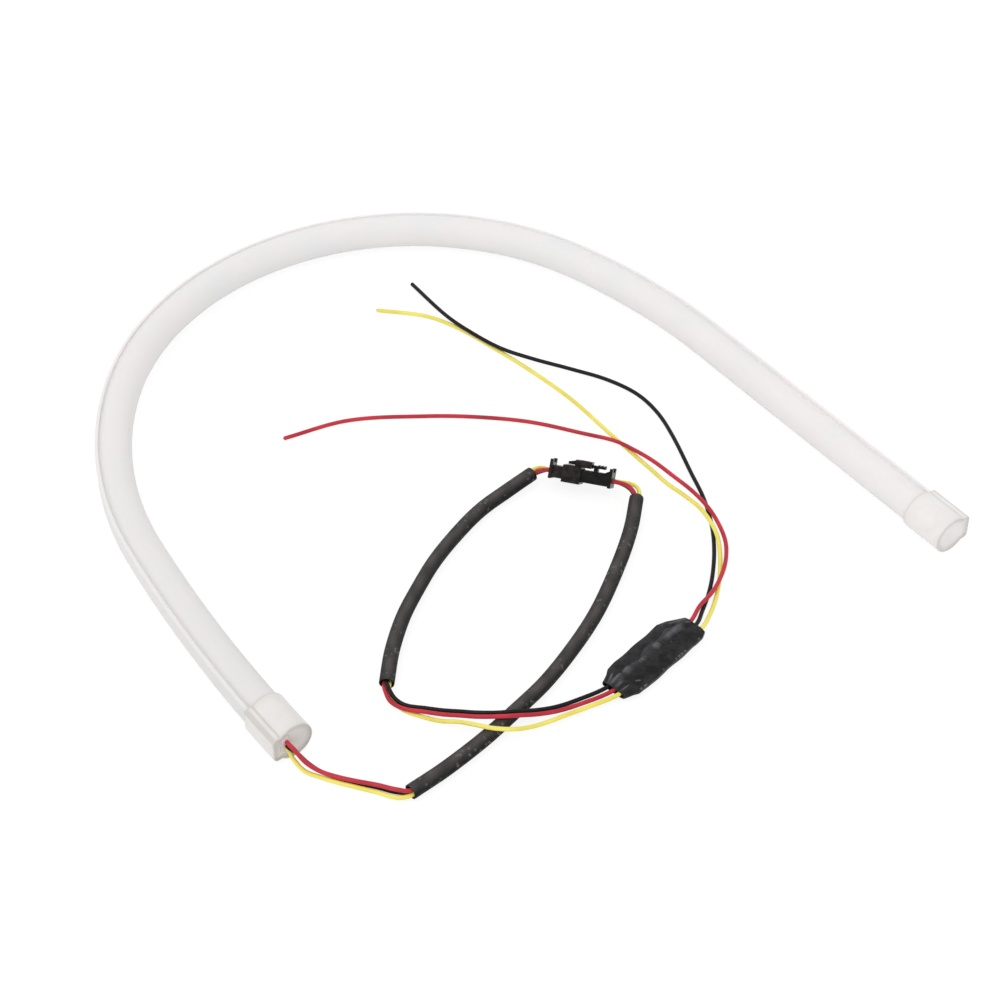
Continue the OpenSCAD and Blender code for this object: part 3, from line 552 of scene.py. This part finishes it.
# %% Make the tube
TUBE_FROM, TUBE_TO = 8.0, 596.9
TUBE_STEP = 3.0
GROOVE_ROUNDS = 4
GREY_LENGTH = 330.0

s_tube = np.linspace(TUBE_FROM, TUBE_TO, int((TUBE_TO - TUBE_FROM) / TUBE_STEP))
section, bore = tube_section(rounds=GROOVE_ROUNDS), bore_section()
ripple = 1 + 0.0025 * np.sin(s_tube / 11) + 0.002 * np.sin(s_tube / 4.7 + 1)
outer = lamp_grid(s_tube, ripple[:, None, None] * section[None])
inner = lamp_grid(s_tube, np.broadcast_to(bore, (len(s_tube),) + bore.shape))
# Greyer towards the end with the wires: 1 there, falling evenly to 0 further on
wire_end_grey = np.clip(1 - s_tube / GREY_LENGTH, 0, 1)[:, None] * np.ones(SECTION_POINTS)
tube = wall("silicone_tube", outer, inner, wire_end_grey)
print("tube faces:", len(tube.data.polygons))

# %% [markdown]
# ## End caps
# Each cap is moulded in the same silicone and glued over the tube's end. Its outline is the
# tube's outline grown by the wall, so one function makes both. The rows below walk over the cap:
# up the pocket, round the mouth's edge, along the outside, round the end's edge, over the
# raised rim and down to the sunk face.

# %% Make the end caps
CAP_LENGTH, CAP_GAP, CAP_WALL = 17.0, 0.1, 0.9
CAP_RIM, CAP_SUNK = 0.7, 0.5
full = CAP_GAP + CAP_WALL
cap_rows = np.array(
    [[CAP_END, CAP_GAP]] + [[s, CAP_GAP] for s in np.linspace(CAP_END + 0.2, CAP_LENGTH - 0.2, 8)]
    + [[CAP_LENGTH - 0.04, CAP_GAP + 0.06], [CAP_LENGTH, CAP_GAP + 0.25], [CAP_LENGTH, full - 0.3],
       [CAP_LENGTH - 0.08, full - 0.08], [CAP_LENGTH - 0.3, full]]
    + [[s, full] for s in np.linspace(CAP_LENGTH - 1, 1, 9)]
    + [[0.35, full], [0.1, full - 0.1], [0, full - 0.35], [0, full - CAP_RIM + 0.2],
       [0.08, full - CAP_RIM + 0.04], [CAP_SUNK - 0.1, full - CAP_RIM],
       [CAP_SUNK, full - CAP_RIM - 0.12]])
FACE_SHRINK = np.linspace(0.9, 0.1, 7)
# Darkening round the edges: how far it reaches from the edges, its share there, and its share on
# the face's first rows
RIM_REACH, RIM_DARKENING, FACE_DARKENING = 0.5, 0.8, [0.5, 0.1]


def turning(rows):
    """How sharply each row turns at each point: the sine of the angle between its two edges."""
    ahead, behind = np.roll(rows, -1, 1) - rows, rows - np.roll(rows, 1, 1)
    cross = ahead[..., 0] * behind[..., 1] - ahead[..., 1] * behind[..., 0]
    return np.abs(cross) / (np.linalg.norm(ahead, axis=2) * np.linalg.norm(behind, axis=2))


def end_cap(name, mirrored, wire_end_grey):
    """Rows of the grown outline, then the face's rows, which shrink towards its middle. The far
    cap is the same list of rows counted from the lamp's other end. The value carries painted shade
    along corners and in the grooves, darkening round both edges, and an even grey at the wires'
    end."""
    outlines = np.array([tube_section(grow) for _, grow in cap_rows])
    face = FACE_SHRINK[:, None, None] * outlines[-1][None]
    s = np.concatenate([cap_rows[:, 0], np.full(len(face), CAP_SUNK)])
    rows = np.concatenate([outlines, face])
    on_wall = (np.arange(len(rows)) < len(outlines))[:, None]
    # Painted shade where the outline turns sharply: in the corners and the grooves
    corners = np.clip(turning(rows) / 0.2 - 0.3, 0, 0.55) * on_wall
    # Darker round both edges of the cap, and on the face's first rows
    rims = np.exp(-np.minimum(s, CAP_LENGTH - s) / RIM_REACH)
    rims[-len(face):] = FACE_DARKENING + [0] * (len(face) - len(FACE_DARKENING))
    darkening = np.clip(wire_end_grey + np.maximum(corners, RIM_DARKENING * rims[:, None]), 0, 1)
    if mirrored:
        s = LAMP_LENGTH - s
    else:
        s, rows, darkening = s[::-1], rows[::-1], darkening[::-1]
    cap = skin(name, lamp_grid(s, rows))
    write_wear_and_light(cap, np.append(darkening, [darkening[0, 0], darkening[-1, 0]]))
    return cap


wire_cap = end_cap("wire_cap", mirrored=False, wire_end_grey=0.28)
blind_cap = end_cap("blind_cap", mirrored=True, wire_end_grey=0.0)
print("cap faces:", len(wire_cap.data.polygons))

# %% [markdown]
# The three wires leave the cap through a slot, and clear glue fills it. The glue stands up round
# the wires as a soft lens: a slot outline that shrinks along a quarter circle as it rises.

# %% Make the glue bead
BEAD_R, BEAD_HEIGHT, BEAD_POINTS = 2.05, 0.9, 64
slot = np.vstack([arc((EXIT_OUT, EXIT_RISE + EXIT_PITCH), BEAD_R, 0, 180, 24),
                  arc((EXIT_OUT, EXIT_RISE - EXIT_PITCH), BEAD_R, 180, 360, 24)])
middle = np.array([EXIT_OUT, EXIT_RISE])
around = np.arange(BEAD_POINTS) / BEAD_POINTS * 2 * np.pi
lumps = 1 + 0.04 * np.sin(3 * around) + 0.03 * np.sin(5 * around + 1)
rise = np.radians(np.linspace(0, 90, 9))
# The first row lies hidden in the cap, where the glue fills the slot
bead_s = np.concatenate([[CAP_END - 0.1], CAP_SUNK - BEAD_HEIGHT * np.sin(rise)])
bead_size = np.concatenate([[0.6], 0.55 + 0.45 * np.cos(rise)])[:, None, None] * lumps[:, None]
bead = middle + (even(slot, BEAD_POINTS) - middle) * bead_size
glue = skin("glue_bead", lamp_grid(bead_s, bead)[::-1])
print("glue faces:", len(glue.data.polygons))

# %% [markdown]
# ## The control box
# This is a small circuit board in shrink wrap. Hot air pulls the film tight over the board, so it
# shows pinched ends, the lumps of the board's parts and folds where it had too much room. The
# tight film is a squared-off ellipse at each station along the box. Its top is then pushed in and
# out, and what stands up gets painted highlights.

# %% What shapes the film
WRAP_ALONG, WRAP_ROUND = 150, 144
WRAP_WALL = 0.5
# Each station, all as shares: its place along the length, width, height and shift aside
stations = np.array([
    [-0.5, 0.66, 0.62, 0], [-0.42, 0.8, 0.74, 0], [-0.37, 0.94, 0.9, 0], [-0.26, 1, 1, 0],
    [-0.1, 0.99, 0.96, 0], [0.1, 0.99, 1, 0], [0.28, 1, 1, 0], [0.37, 0.92, 0.96, -0.04],
    [0.45, 0.76, 0.88, -0.1], [0.5, 0.62, 0.76, -0.12]])
# Each crease: from u, v to u, v on the face, its height, its width, and 1 for the top or -1 below
creases = np.array([
    [-19.3, 3, -15.2, 4.4, 0.5, 0.4, 1], [-19.5, 1.6, -14.4, 2.2, 0.55, 0.45, 1],
    [-19.4, -0.6, -15.6, -0.2, 0.5, 0.5, 1], [-19.2, -2.6, -15, -3.2, 0.5, 0.4, 1],
    [-17.6, -4.6, -13.4, -5, 0.5, 0.45, 1], [-13.8, -3.4, -11.2, -5.4, 0.55, 0.5, 1],
    [19, 1.4, 13.5, 4.6, 0.4, 0.35, 1], [19.5, -3, 15, -4.6, 0.45, 0.3, 1],
    [13, -5.6, 17, -4.9, 0.4, 0.35, 1], [17.2, 0.6, 19.5, -0.6, 0.4, 0.3, 1],
    [5.4, -5.2, 7, -5.8, 0.4, 0.5, 1], [9.4, -5.4, 12, -6.2, 0.3, 0.35, 1],
    [-9, 4.6, -5, 5.8, 0.22, 0.4, 1], [-18, 1, -8, 0.4, 0.4, 0.5, -1],
    [6, -1, 18, 1.2, 0.4, 0.5, -1], [-10, 4, -2, 5, 0.3, 0.4, -1]])
# What presses through from inside: middle u, v, half length, half width and height
lumps_inside = np.array([
    [11.6, 0.8, 3.9, 0.9, 0.36], [3.1, 0.8, 1.3, 1.0, 0.4], [-4.6, 0.2, 1.6, 0.7, 0.36],
    [-11.6, 1.6, 1.6, 1.0, 0.26]])
# Painted glints on the right-hand wall: where along the box, how wide and how strong
side_glints = np.array([
    [8.6, 0.5, 0.75], [7, 0.35, 1], [5.6, 0.6, 0.8], [4, 0.3, 0.75], [-2.5, 0.4, 0.5],
    [-11.8, 0.7, 1], [-13.8, 0.4, 0.85], [16, 0.5, 0.6]])


# %% The tight film
def squared(x, power=0.6):
    """The size of x to a power under 1, with x's sign, which pushes a circle into its corners."""
    return np.sign(x) * np.abs(x) ** power


def tight_film(inset):
    """Points u, v, w and the angle a round the film: v and w are squared-off cosine and sine of a,
    times half the width and height that the stations give, less the inset."""
    share = np.linspace(-0.5, 0.5, WRAP_ALONG)
    width, height, shift = (np.interp(share, stations[:, 0], stations[:, k])[:, None]
                            for k in (1, 2, 3))
    a = (2 * np.pi * (np.arange(WRAP_ROUND) + 0.5) / WRAP_ROUND)[None]
    u = np.repeat(share[:, None] * BOX_LENGTH, WRAP_ROUND, axis=1)
    v = shift * BOX_WIDTH + (width * BOX_WIDTH / 2 - inset) * squared(np.cos(a))
    return u, v, (height * BOX_HEIGHT / 2 - inset) * squared(np.sin(a)), a


# %% Folds, lumps and the roof
ROOF_FALL, LEVEL_DROP, SLUMP = 0.17, 0.2, 0.14
SIDE_WAVE, SIDE_PINCH = 0.13, 0.1


def folds_and_bumps(u, v, top):
    """Each crease adds height times exp(-(distance / width)^2), and fades at its ends. Each lump
    adds height times exp(-(du^4 + dv^4)), which has a flat top and steep sides."""
    folds, bumps = np.zeros_like(u), np.zeros_like(u)
    for u0, v0, u1, v1, height, width, side in creases:
        along = np.array([u1 - u0, v1 - v0])
        t = ((u - u0) * along[0] + (v - v0) * along[1]) / (along @ along)
        inside = np.clip(t, 0, 1)
        gap = np.hypot(u - u0 - inside * along[0], v - v0 - inside * along[1])
        fade = np.sin(np.pi * np.clip(t, 0.06, 0.94)) ** 0.5
        folds += np.where(top == side, height * np.exp(-(gap / width) ** 2) * fade, 0)
    for u0, v0, half_u, half_v, height in lumps_inside:
        flat_top = np.exp(-((u - u0) / half_u) ** 4 - ((v - v0) / half_v) ** 4)
        bumps += np.where(top > 0, height * flat_top, 0)
    return folds, bumps


def roof_line(u):
    """Where the top's highest line runs: v as a slow wave of u."""
    return 0.8 + 0.5 * np.sin(u / 5.5)


def creased(u, v, w, a, folds, bumps):
    """The film's v and w once it is pushed about. The top is a low roof, which falls away on both
    sides of its line, with folds, lumps and a slow slump on it. The walls wave and are pinched."""
    top = np.where(np.sin(a) > 0, 1, -1)
    slump = SLUMP * np.sin(u / 2.1 + v / 1.7) * np.sin(v / 1.3 - u / 5)
    roof = -ROOF_FALL * np.abs(v - roof_line(u)) * (top > 0)
    raised = top * np.abs(np.sin(a)) ** 1.2 * (folds + bumps + slump + roof - LEVEL_DROP)
    pushed = np.cos(a) * (SIDE_WAVE * np.sin(u / 1.9 + 2 * np.sign(np.cos(a))) - SIDE_PINCH)
    return v + pushed, w + raised


# %% Where highlights are painted on the film
# How strong the painted highlights are on folds, lumps and the roof's line, and the painted light
# on its slope and underside
FOLD_HIGHLIGHT, BUMP_HIGHLIGHT, SLOPE_LIGHT, BELOW_LIGHT, CREST_HIGHLIGHT = 1.9, 2.2, 0.3, 0.05, 0.16


def painted_highlights(u, v, a, folds, bumps):
    """Painted highlights: folds and lumps most, then painted light on a band on the roof's left
    slope and along its line, all in patches and short streaks. The painted glints on the side are
    soft spots, exp(-(du^2 + da^2))."""
    on_top, beside = np.sin(a) > 0, v - roof_line(u)
    slope = np.where(on_top, SLOPE_LIGHT * np.exp(-((beside - 2.6) / 2.4) ** 2), BELOW_LIGHT)
    crest = np.where(on_top & (np.abs(u) < 17), CREST_HIGHLIGHT * np.exp(-(beside / 0.35) ** 2), 0)
    streaks = np.where((u > -8) & (u < -2), 0.28, 0.08) * np.sin(4.2 * u + 2.6 * v)
    patchy = 0.72 + 0.2 * np.sin(1.1 * u + 0.7 * v + 1) * np.sin(0.7 * u - 2.1 * v) + streaks
    raised = FOLD_HIGHLIGHT * folds + BUMP_HIGHLIGHT * bumps + slope + crest
    wear_and_light = np.abs(np.sin(a)) ** 1.2 * patchy * raised
    # Painted glints on the right-hand wall
    for at, width, strength in side_glints:
        spot = strength * np.exp(-((u - at) / width) ** 2 - ((np.sin(a) - 0.4) / 0.3) ** 2)
        wear_and_light = wear_and_light + np.where(np.cos(a) < 0, spot, 0)
    return np.clip(wear_and_light, 0, 1)


# %% Make the shrink wrap
LOWEST, HIGHEST = 0.15 - BOX_AT[2], BOX_HEIGHT / 2 + 0.25


def on_box(u, v, w):
    return box_point(u[..., None], v[..., None], np.clip(w, LOWEST, HIGHEST)[..., None])


u, v, w, a = tight_film(0)
folds, bumps = folds_and_bumps(u, v, np.where(np.sin(a) > 0, 1, -1))
film_out = on_box(u, *creased(u, v, w, a, folds, bumps))
film_in = on_box(*tight_film(WRAP_WALL)[:3])
wrap = wall("shrink_wrap", film_out, film_in, painted_highlights(u, v, a, folds, bumps))
print("wrap faces:", len(wrap.data.polygons))

# %% [markdown]
# ## The connector
# Its two halves are moulded parts whose shape is already right in the frame. Real mouldings
# have small round edges that catch the light, so each half is copied, its loose triangles are
# welded, and a Bevel modifier rounds every edge that turns by more than 35 degrees.

# %% Round the connector's edges
EDGE_R, EDGE_TURN = 0.09, np.radians(35)
WELD_GAP, FLAT_TURN = 0.004, np.radians(0.5)


def rounded_copy(node, name):
    """The node's mesh with points welded, flat faces joined and sharp edges rounded."""
    piece = add_object(name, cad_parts[node].data.copy())
    weld = piece.modifiers.new("weld", "WELD")
    weld.merge_threshold = WELD_GAP * MM
    flat = piece.modifiers.new("flat", "DECIMATE")
    flat.decimate_type = "DISSOLVE"
    flat.angle_limit = FLAT_TURN
    bevel = piece.modifiers.new("edges", "BEVEL")
    bevel.width = EDGE_R * MM
    bevel.segments = 2
    bevel.limit_method = "ANGLE"
    bevel.angle_limit = EDGE_TURN
    return piece


plug = rounded_copy("plug_housing", "plug_moulding")
socket = rounded_copy("socket_housing", "socket_moulding")
print("edges rounded on:", plug.name, socket.name)

# %% [markdown]
# ## Shared effects
# Several finishes need the same three effects: slow changes of tone, dust specks, which on the
# film are painted glints, and a fine grain. Each is a node group with its own inputs, built once.
# They read Object coordinates, so they sit still on the piece from any side.

# %% Node helpers
# Most of them make one node, feed its inputs and give its output
COLOR, FLOAT = "NodeSocketColor", "NodeSocketFloat"


def feed(node, inputs):
    """Each input gets a link, if its value is another node's output, or else the plain value."""
    for socket, value in inputs.items():
        if isinstance(value, bpy.types.NodeSocket):
            node.id_data.links.new(value, node.inputs[socket])
        else:
            node.inputs[socket].default_value = value
    return node


def plain_node(tree, kind, inputs):
    return feed(tree.nodes.new(kind), inputs).outputs[0]


def group_node(tree, group, inputs):
    node = tree.nodes.new("ShaderNodeGroup")
    node.node_tree = group
    return feed(node, inputs).outputs[0]


def math_node(tree, operation, first, second, clamped=False):
    node = tree.nodes.new("ShaderNodeMath")
    node.operation, node.use_clamp = operation, clamped
    return feed(node, {0: first, 1: second}).outputs[0]


def mix_node(tree, factor, plain, other):
    """A colour that goes from plain to other as the factor goes from 0 to 1."""
    node = tree.nodes.new("ShaderNodeMix")
    node.data_type = "RGBA"
    return feed(node, {"Factor": factor, 6: plain, 7: other}).outputs[2]


def range_node(tree, value, low, high, to_low=0.0, to_high=1.0):
    """The value's stretch from low to high, laid on the stretch from to_low to to_high."""
    inputs = {0: value, 1: low, 2: high, 3: to_low, 4: to_high}
    return plain_node(tree, "ShaderNodeMapRange", inputs)


def noise_node(tree, vector, scale, detail):
    inputs = {"Vector": vector, "Scale": scale, "Detail": detail}
    return plain_node(tree, "ShaderNodeTexNoise", inputs)


def new_group(name, inputs, output, kind):
    """An empty group: the group, its inputs, its output's node and the Object coordinates."""
    group = bpy.data.node_groups.new(name, "ShaderNodeTree")
    for label, socket_type, value in inputs:
        entry = group.interface.new_socket(name=label, in_out="INPUT", socket_type=socket_type)
        entry.default_value = value
    group.interface.new_socket(name=output, in_out="OUTPUT", socket_type=kind)
    given, result = group.nodes.new("NodeGroupInput"), group.nodes.new("NodeGroupOutput")
    where = group.nodes.new("ShaderNodeTexCoord").outputs["Object"]
    return group, given.outputs, result, where


# %% Slow tones
WHITE, BLACK = (1, 1, 1, 1), (0, 0, 0, 1)
tones, given, result, where = new_group(
    "slow tones", [("Light", COLOR, WHITE), ("Dark", COLOR, BLACK), ("Scale", FLOAT, 40.0)],
    "Color", COLOR)
drift = range_node(tones, noise_node(tones, where, given["Scale"], 3.0), 0.35, 0.65)
feed(result, {"Color": mix_node(tones, drift, given["Light"], given["Dark"])})

# %% Dust specks, which are painted glints on the film
# A speck sits in the middle of each Voronoi cell, where a coarse noise is above Reach
PATCH_SCALE, PATCH_EDGE = 160.0, 12.0
dust_and_glints, given, result, where = new_group(
    "dust specks", [("Scale", FLOAT, 900.0), ("Reach", FLOAT, 0.3)], "Mask", FLOAT)
cells = plain_node(dust_and_glints, "ShaderNodeTexVoronoi", {"Vector": where, "Scale": given["Scale"]})
speck = range_node(dust_and_glints, cells, 0.05, 0.4, 1.0, 0.0)
above = math_node(dust_and_glints, "SUBTRACT", noise_node(dust_and_glints, where, PATCH_SCALE, 2.0), given["Reach"])
patch = math_node(dust_and_glints, "MULTIPLY", above, PATCH_EDGE, clamped=True)
feed(result, {"Mask": math_node(dust_and_glints, "MULTIPLY", speck, patch)})

# %% Fine grain
grain, given, result, where = new_group("fine grain", [("Scale", FLOAT, 1500.0)], "Height", FLOAT)
feed(result, {"Height": noise_node(grain, where, given["Scale"], 4.0)})
print("node groups:", [group.name for group in bpy.data.node_groups])

# %% [markdown]
# ## Finishes
# One function sets up every finish: a light and a dark tone that drift over the surface, a
# roughness that drifts with the grain, and the grain in the normal. Dust, the piece's own wear
# and painted light come in where wanted. Only the numbers change from silicone to vinyl to film.

# %% The finish function
GRAIN_LOW, GRAIN_HIGH = 0.3, 0.7


def set_shader(material, inputs):
    feed(material.node_tree.nodes["Principled BSDF"], inputs)


def finish(name, light, dark, rough, tone_scale=60.0, grain_scale=1500.0, bump=0.05, bump_mm=0.02,
           dust_and_sheen=None, speck_scale=900.0, speck_color=(0.1, 0.095, 0.09), metallic=0.0, gloss=0.5,
           wear_and_light_color=None):
    """Colour = tones, mixed towards a second colour by the value for wear and painted light, and
    towards the speck colour by the specks.
    Roughness goes from rough[0] to rough[1] with the grain, which also lifts the normal."""
    material = bpy.data.materials.new(name)
    material.use_nodes = True
    tree = material.node_tree
    color = group_node(
        tree, tones, {"Light": (*light, 1), "Dark": (*dark, 1), "Scale": tone_scale})
    if wear_and_light_color is not None:
        wear_and_light = tree.nodes.new("ShaderNodeAttribute")
        wear_and_light.attribute_name = "wear_and_light"
        color = mix_node(tree, wear_and_light.outputs["Fac"], color, (*wear_and_light_color, 1))
    if dust_and_sheen is not None:
        specks = group_node(tree, dust_and_glints, {"Scale": speck_scale, "Reach": dust_and_sheen})
        color = mix_node(tree, specks, color, (*speck_color, 1))
    height = group_node(tree, grain, {"Scale": grain_scale})
    normal = plain_node(tree, "ShaderNodeBump",
                        {"Height": height, "Strength": bump, "Distance": bump_mm * MM})
    set_shader(material, {
        "Base Color": color, "Roughness": range_node(tree, height, GRAIN_LOW, GRAIN_HIGH, *rough),
        "Normal": normal, "Metallic": metallic, "Specular IOR Level": gloss})
    return material


# %% [markdown]
# Silicone is milky: light enters, scatters and comes out nearby, which softens every shadow.
# Subsurface scattering does that. Its scale is how far light travels in the wall. The caps are
# clearer than the tube, so they scatter less of the light and over less depth.

# %% Silicone and glue
SILICONE_IOR, GLUE_IOR = 1.41, 1.3


def scatter(material, weight, depth_mm):
    set_shader(material, {"Subsurface Weight": weight, "Subsurface Radius": (1, 1, 1),
                          "Subsurface Scale": depth_mm * MM, "IOR": SILICONE_IOR})


silicone = finish(
    "milky silicone", (0.93, 0.885, 0.88), (0.875, 0.875, 0.875), (0.5, 0.65), tone_scale=45,
    grain_scale=700, bump=0.15, bump_mm=0.05, wear_and_light_color=(0.8, 0.785, 0.775))
scatter(silicone, weight=0.7, depth_mm=0.8)
cap_silicone = finish(
    "clearer silicone", (0.92, 0.9, 0.875), (0.88, 0.85, 0.84), (0.28, 0.42), tone_scale=190,
    grain_scale=500, bump=0.2, bump_mm=0.06, wear_and_light_color=(0.62, 0.595, 0.56))
scatter(cap_silicone, weight=0.4, depth_mm=0.45)
clear_glue = finish(
    "clear glue", (0.98, 0.9, 0.88), (0.93, 0.78, 0.76), (0.12, 0.26), tone_scale=300,
    grain_scale=400, bump=0.3, bump_mm=0.08)
set_shader(clear_glue, {"Transmission Weight": 0.35, "IOR": GLUE_IOR})
print("made:", silicone.name, cap_silicone.name, clear_glue.name)

# %% [markdown]
# The wires' insulation is soft vinyl. Its colour is strong and its gloss is broad, with faint
# drifts where it was handled. The sleeves, the film and the mouldings are nearly black. What
# makes them seen is dust, a painted sheen on the sleeves, and painted highlights and glints on the
# film.

# %% Vinyl, rubber and film
INSULATION = dict(tone_scale=90, bump=0.1)
MOULDING = dict(tone_scale=500, grain_scale=1800, bump=0.25, bump_mm=0.03, dust_and_sheen=0.58,
                speck_scale=1500, gloss=0.12)
red_vinyl = finish(
    "red vinyl", (0.64, 0.037, 0.064), (0.44, 0.024, 0.04), (0.34, 0.48), gloss=0.25, **INSULATION)
black_vinyl = finish(
    "black vinyl", (0.011, 0.008, 0.008), (0.005, 0.004, 0.004), (0.32, 0.46), gloss=0.2,
    **INSULATION)
yellow_vinyl = finish(
    "yellow vinyl", (0.97, 0.87, 0.175), (0.86, 0.75, 0.115), (0.34, 0.48), gloss=0.35,
    **INSULATION)
# The sleeve's second colour is dust with a painted sheen along the upper side
sleeve_vinyl = finish(
    "sleeve vinyl", (0.018, 0.0165, 0.0165), (0.006, 0.0055, 0.0055), (0.5, 0.68),
    tone_scale=700, grain_scale=900, bump=0.35, bump_mm=0.08, dust_and_sheen=0.49, speck_scale=560,
    speck_color=(0.15, 0.145, 0.145), gloss=0.12, wear_and_light_color=(0.094, 0.086, 0.083))
# The film's second colour is the colour of its painted highlights, and its specks are painted
# glints
wrap_film = finish(
    "shrink film", (0.029, 0.026, 0.026), (0.008, 0.008, 0.008), (0.24, 0.5), tone_scale=330,
    grain_scale=420, bump=0.6, bump_mm=0.12, dust_and_sheen=0.6, speck_scale=650,
    speck_color=(0.11, 0.112, 0.12), gloss=0.15, wear_and_light_color=(0.155, 0.158, 0.178))
moulded = finish(
    "moulded plastic", (0.011, 0.01, 0.01), (0.004, 0.004, 0.004), (0.24, 0.4), **MOULDING)
# The socket's copy of the moulded plastic is browner and lighter than the plug's: a painted
# reflection tint
reflection_tinted_moulded = finish(
    "moulded plastic with painted reflection tint", (0.03, 0.023, 0.021), (0.009, 0.007, 0.006), (0.24, 0.4),
    **MOULDING)
print("finishes so far:", len(bpy.data.materials))

# %% [markdown]
# The parts inside the tube and the box show only when the lamp is cut open, but they have real
# finishes too: white solder mask, phosphor resin, glazed chips, a green board and tin.

# %% Finishes of the inner parts
# The last plain number is the scale of the tones
strip_mask = finish("white solder mask", (0.9, 0.88, 0.8), (0.82, 0.79, 0.7), (0.4, 0.55), 200)
pale_resin = finish("pale phosphor", (0.9, 0.82, 0.35), (0.82, 0.72, 0.25), (0.25, 0.4), 500)
amber_resin = finish("amber phosphor", (0.85, 0.36, 0.05), (0.72, 0.27, 0.03), (0.25, 0.4), 500)
glazed = finish("glazed ceramic", (0.03, 0.03, 0.032), (0.018, 0.018, 0.02), (0.3, 0.5), 700)
board_mask = finish(
    "green solder mask", (0.035, 0.2, 0.09), (0.02, 0.13, 0.06), (0.25, 0.4), 180)
chip_resin = finish(
    "chip resin", (0.028, 0.028, 0.03), (0.018, 0.018, 0.02), (0.5, 0.65), 600, bump=0.3)
tinned = finish(
    "tinned brass", (0.8, 0.7, 0.48), (0.68, 0.58, 0.38), (0.2, 0.38), 500, metallic=1)
copper = finish(
    "copper strands", (0.75, 0.46, 0.3), (0.6, 0.35, 0.22), (0.25, 0.42), 900, metallic=1)
print("finishes in all:", len(bpy.data.materials))

# %% [markdown]
# ## Put everything on the frame
# Each new piece gets its finish and rides on the one body, and the solid it stands for is hidden.

# %% Dress the pieces
def paint(piece, material):
    piece.data.materials.clear()
    piece.data.materials.append(material)


def dress(piece, material, slot_name, *nodes):
    paint(piece, material)
    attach(piece, "root")
    if nodes:
        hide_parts(*nodes)


dress(tube, silicone, "frosted_silicone", "light_tube")
dress(wire_cap, cap_silicone, "cap_silicone", "wire_end_cap")
dress(blind_cap, cap_silicone, "cap_silicone", "blind_end_cap")
dress(glue, clear_glue, "clear_glue", "wire_seal")
dress(wrap, wrap_film, "shrink_wrap", "control_wrap")
dress(plug, moulded, "connector_plastic", "plug_housing")
dress(socket, reflection_tinted_moulded, "connector_plastic", "socket_housing")
vinyls = {"red": red_vinyl, "black": black_vinyl, "yellow": yellow_vinyl}
for name, piece in wires.items():
    color = next(word for word in vinyls if word in name)
    dress(piece, vinyls[color], color + "_insulation", name)
for piece in cores.values():
    dress(piece, copper, "contact_metal")
for name, piece in sleeves.items():
    dress(piece, sleeve_vinyl, "sleeve_rubber", name)
board_finishes = {
    "control_board": board_mask, "control_chip": chip_resin,
    "switching_transistors": chip_resin, "board_resistors": glazed, "input_diode": chip_resin}
inner_finishes = {
    "light_strip": strip_mask, "white_lamps": pale_resin, "amber_lamps": amber_resin,
    "strip_resistors": glazed, "plug_contacts": tinned, "socket_pins": tinned, **board_finishes}
for node, material in inner_finishes.items():
    paint(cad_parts[node], material)
print("inner parts painted:", len(inner_finishes))

# %% [markdown]
# Each wire is sorted by where it starts: at the lamp, at the box or as a lead. Nothing more is
# done with it here.


for name, piece in wires.items():
    if name.startswith("lamp"):
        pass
    elif name.startswith("box"):
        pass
    else:
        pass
print("cords declared:", len(wires) + len(sleeves))

# %% [markdown]
# ## Floor and light
# The photograph has a pure white ground and almost no shadow. The floor is a plain plane, which
# glows a little where the camera sees it, so that it reaches white while the soft shadow under
# the lamp stays. The light is a bright even sky and one large soft lamp from the upper left.

# %% Floor
FLOOR_HALF, FLOOR_Z = 2500, -0.05
FLOOR_GLOW, FLOOR_SHADE, FLOOR_BOUNCE = 0.86, 0.2, 0.95
corners = [(x * FLOOR_HALF * MM, y * FLOOR_HALF * MM, FLOOR_Z * MM)
           for x in (-1, 1) for y in (-1, 1)]
floor_mesh = bpy.data.meshes.new("floor")
floor_mesh.from_pydata(corners, [], [(0, 2, 3, 1)])
floor = add_object("floor", floor_mesh)


def seen_directly(tree):
    """1 where the camera, a reflection or a refraction looks, and 0 for light that bounces."""
    rays = tree.nodes.new("ShaderNodeLightPath").outputs
    looked_at = math_node(tree, "ADD", rays["Is Camera Ray"], rays["Is Glossy Ray"])
    return math_node(tree, "ADD", looked_at, rays["Is Transmission Ray"], clamped=True)


floor_material = bpy.data.materials.new("white floor")
floor_material.use_nodes = True
tree = floor_material.node_tree
tree.nodes.remove(tree.nodes["Principled BSDF"])
bounce = plain_node(tree, "ShaderNodeBsdfDiffuse", {"Color": (FLOOR_BOUNCE,) * 3 + (1,)})
shaded = plain_node(tree, "ShaderNodeBsdfDiffuse", {"Color": (FLOOR_SHADE,) * 3 + (1,)})
glow = plain_node(tree, "ShaderNodeEmission", {"Strength": FLOOR_GLOW})
added = plain_node(tree, "ShaderNodeAddShader", {0: shaded, 1: glow})
mixed = plain_node(tree, "ShaderNodeMixShader", {0: seen_directly(tree), 1: bounce, 2: added})
feed(tree.nodes["Material Output"], {"Surface": mixed})
floor.data.materials.append(floor_material)
print("floor made:", floor.name)

# %% Sky and lamp
SKY_LIGHT, SKY_SEEN = 0.84, 1.0
KEY_POWER, KEY_SIZE = 5.0, 0.7
KEY_AT, KEY_TILT = (-0.7, -0.5, 1.5), (-16, -24, 0)
world = bpy.data.worlds.new("sky")
bpy.context.scene.world = world
world.use_nodes = True
tree = world.node_tree
strength = range_node(tree, seen_directly(tree), 0.0, 1.0, SKY_LIGHT, SKY_SEEN)
feed(tree.nodes["Background"], {"Color": WHITE, "Strength": strength})

key_data = bpy.data.lights.new("key", "AREA")
key_data.energy = KEY_POWER
key_data.size = KEY_SIZE
key = add_object("key", key_data)
key.location = KEY_AT
key.rotation_euler = np.radians(KEY_TILT)
bpy.context.scene.view_settings.view_transform = "Standard"
print("key lamp at:", KEY_AT, "m")
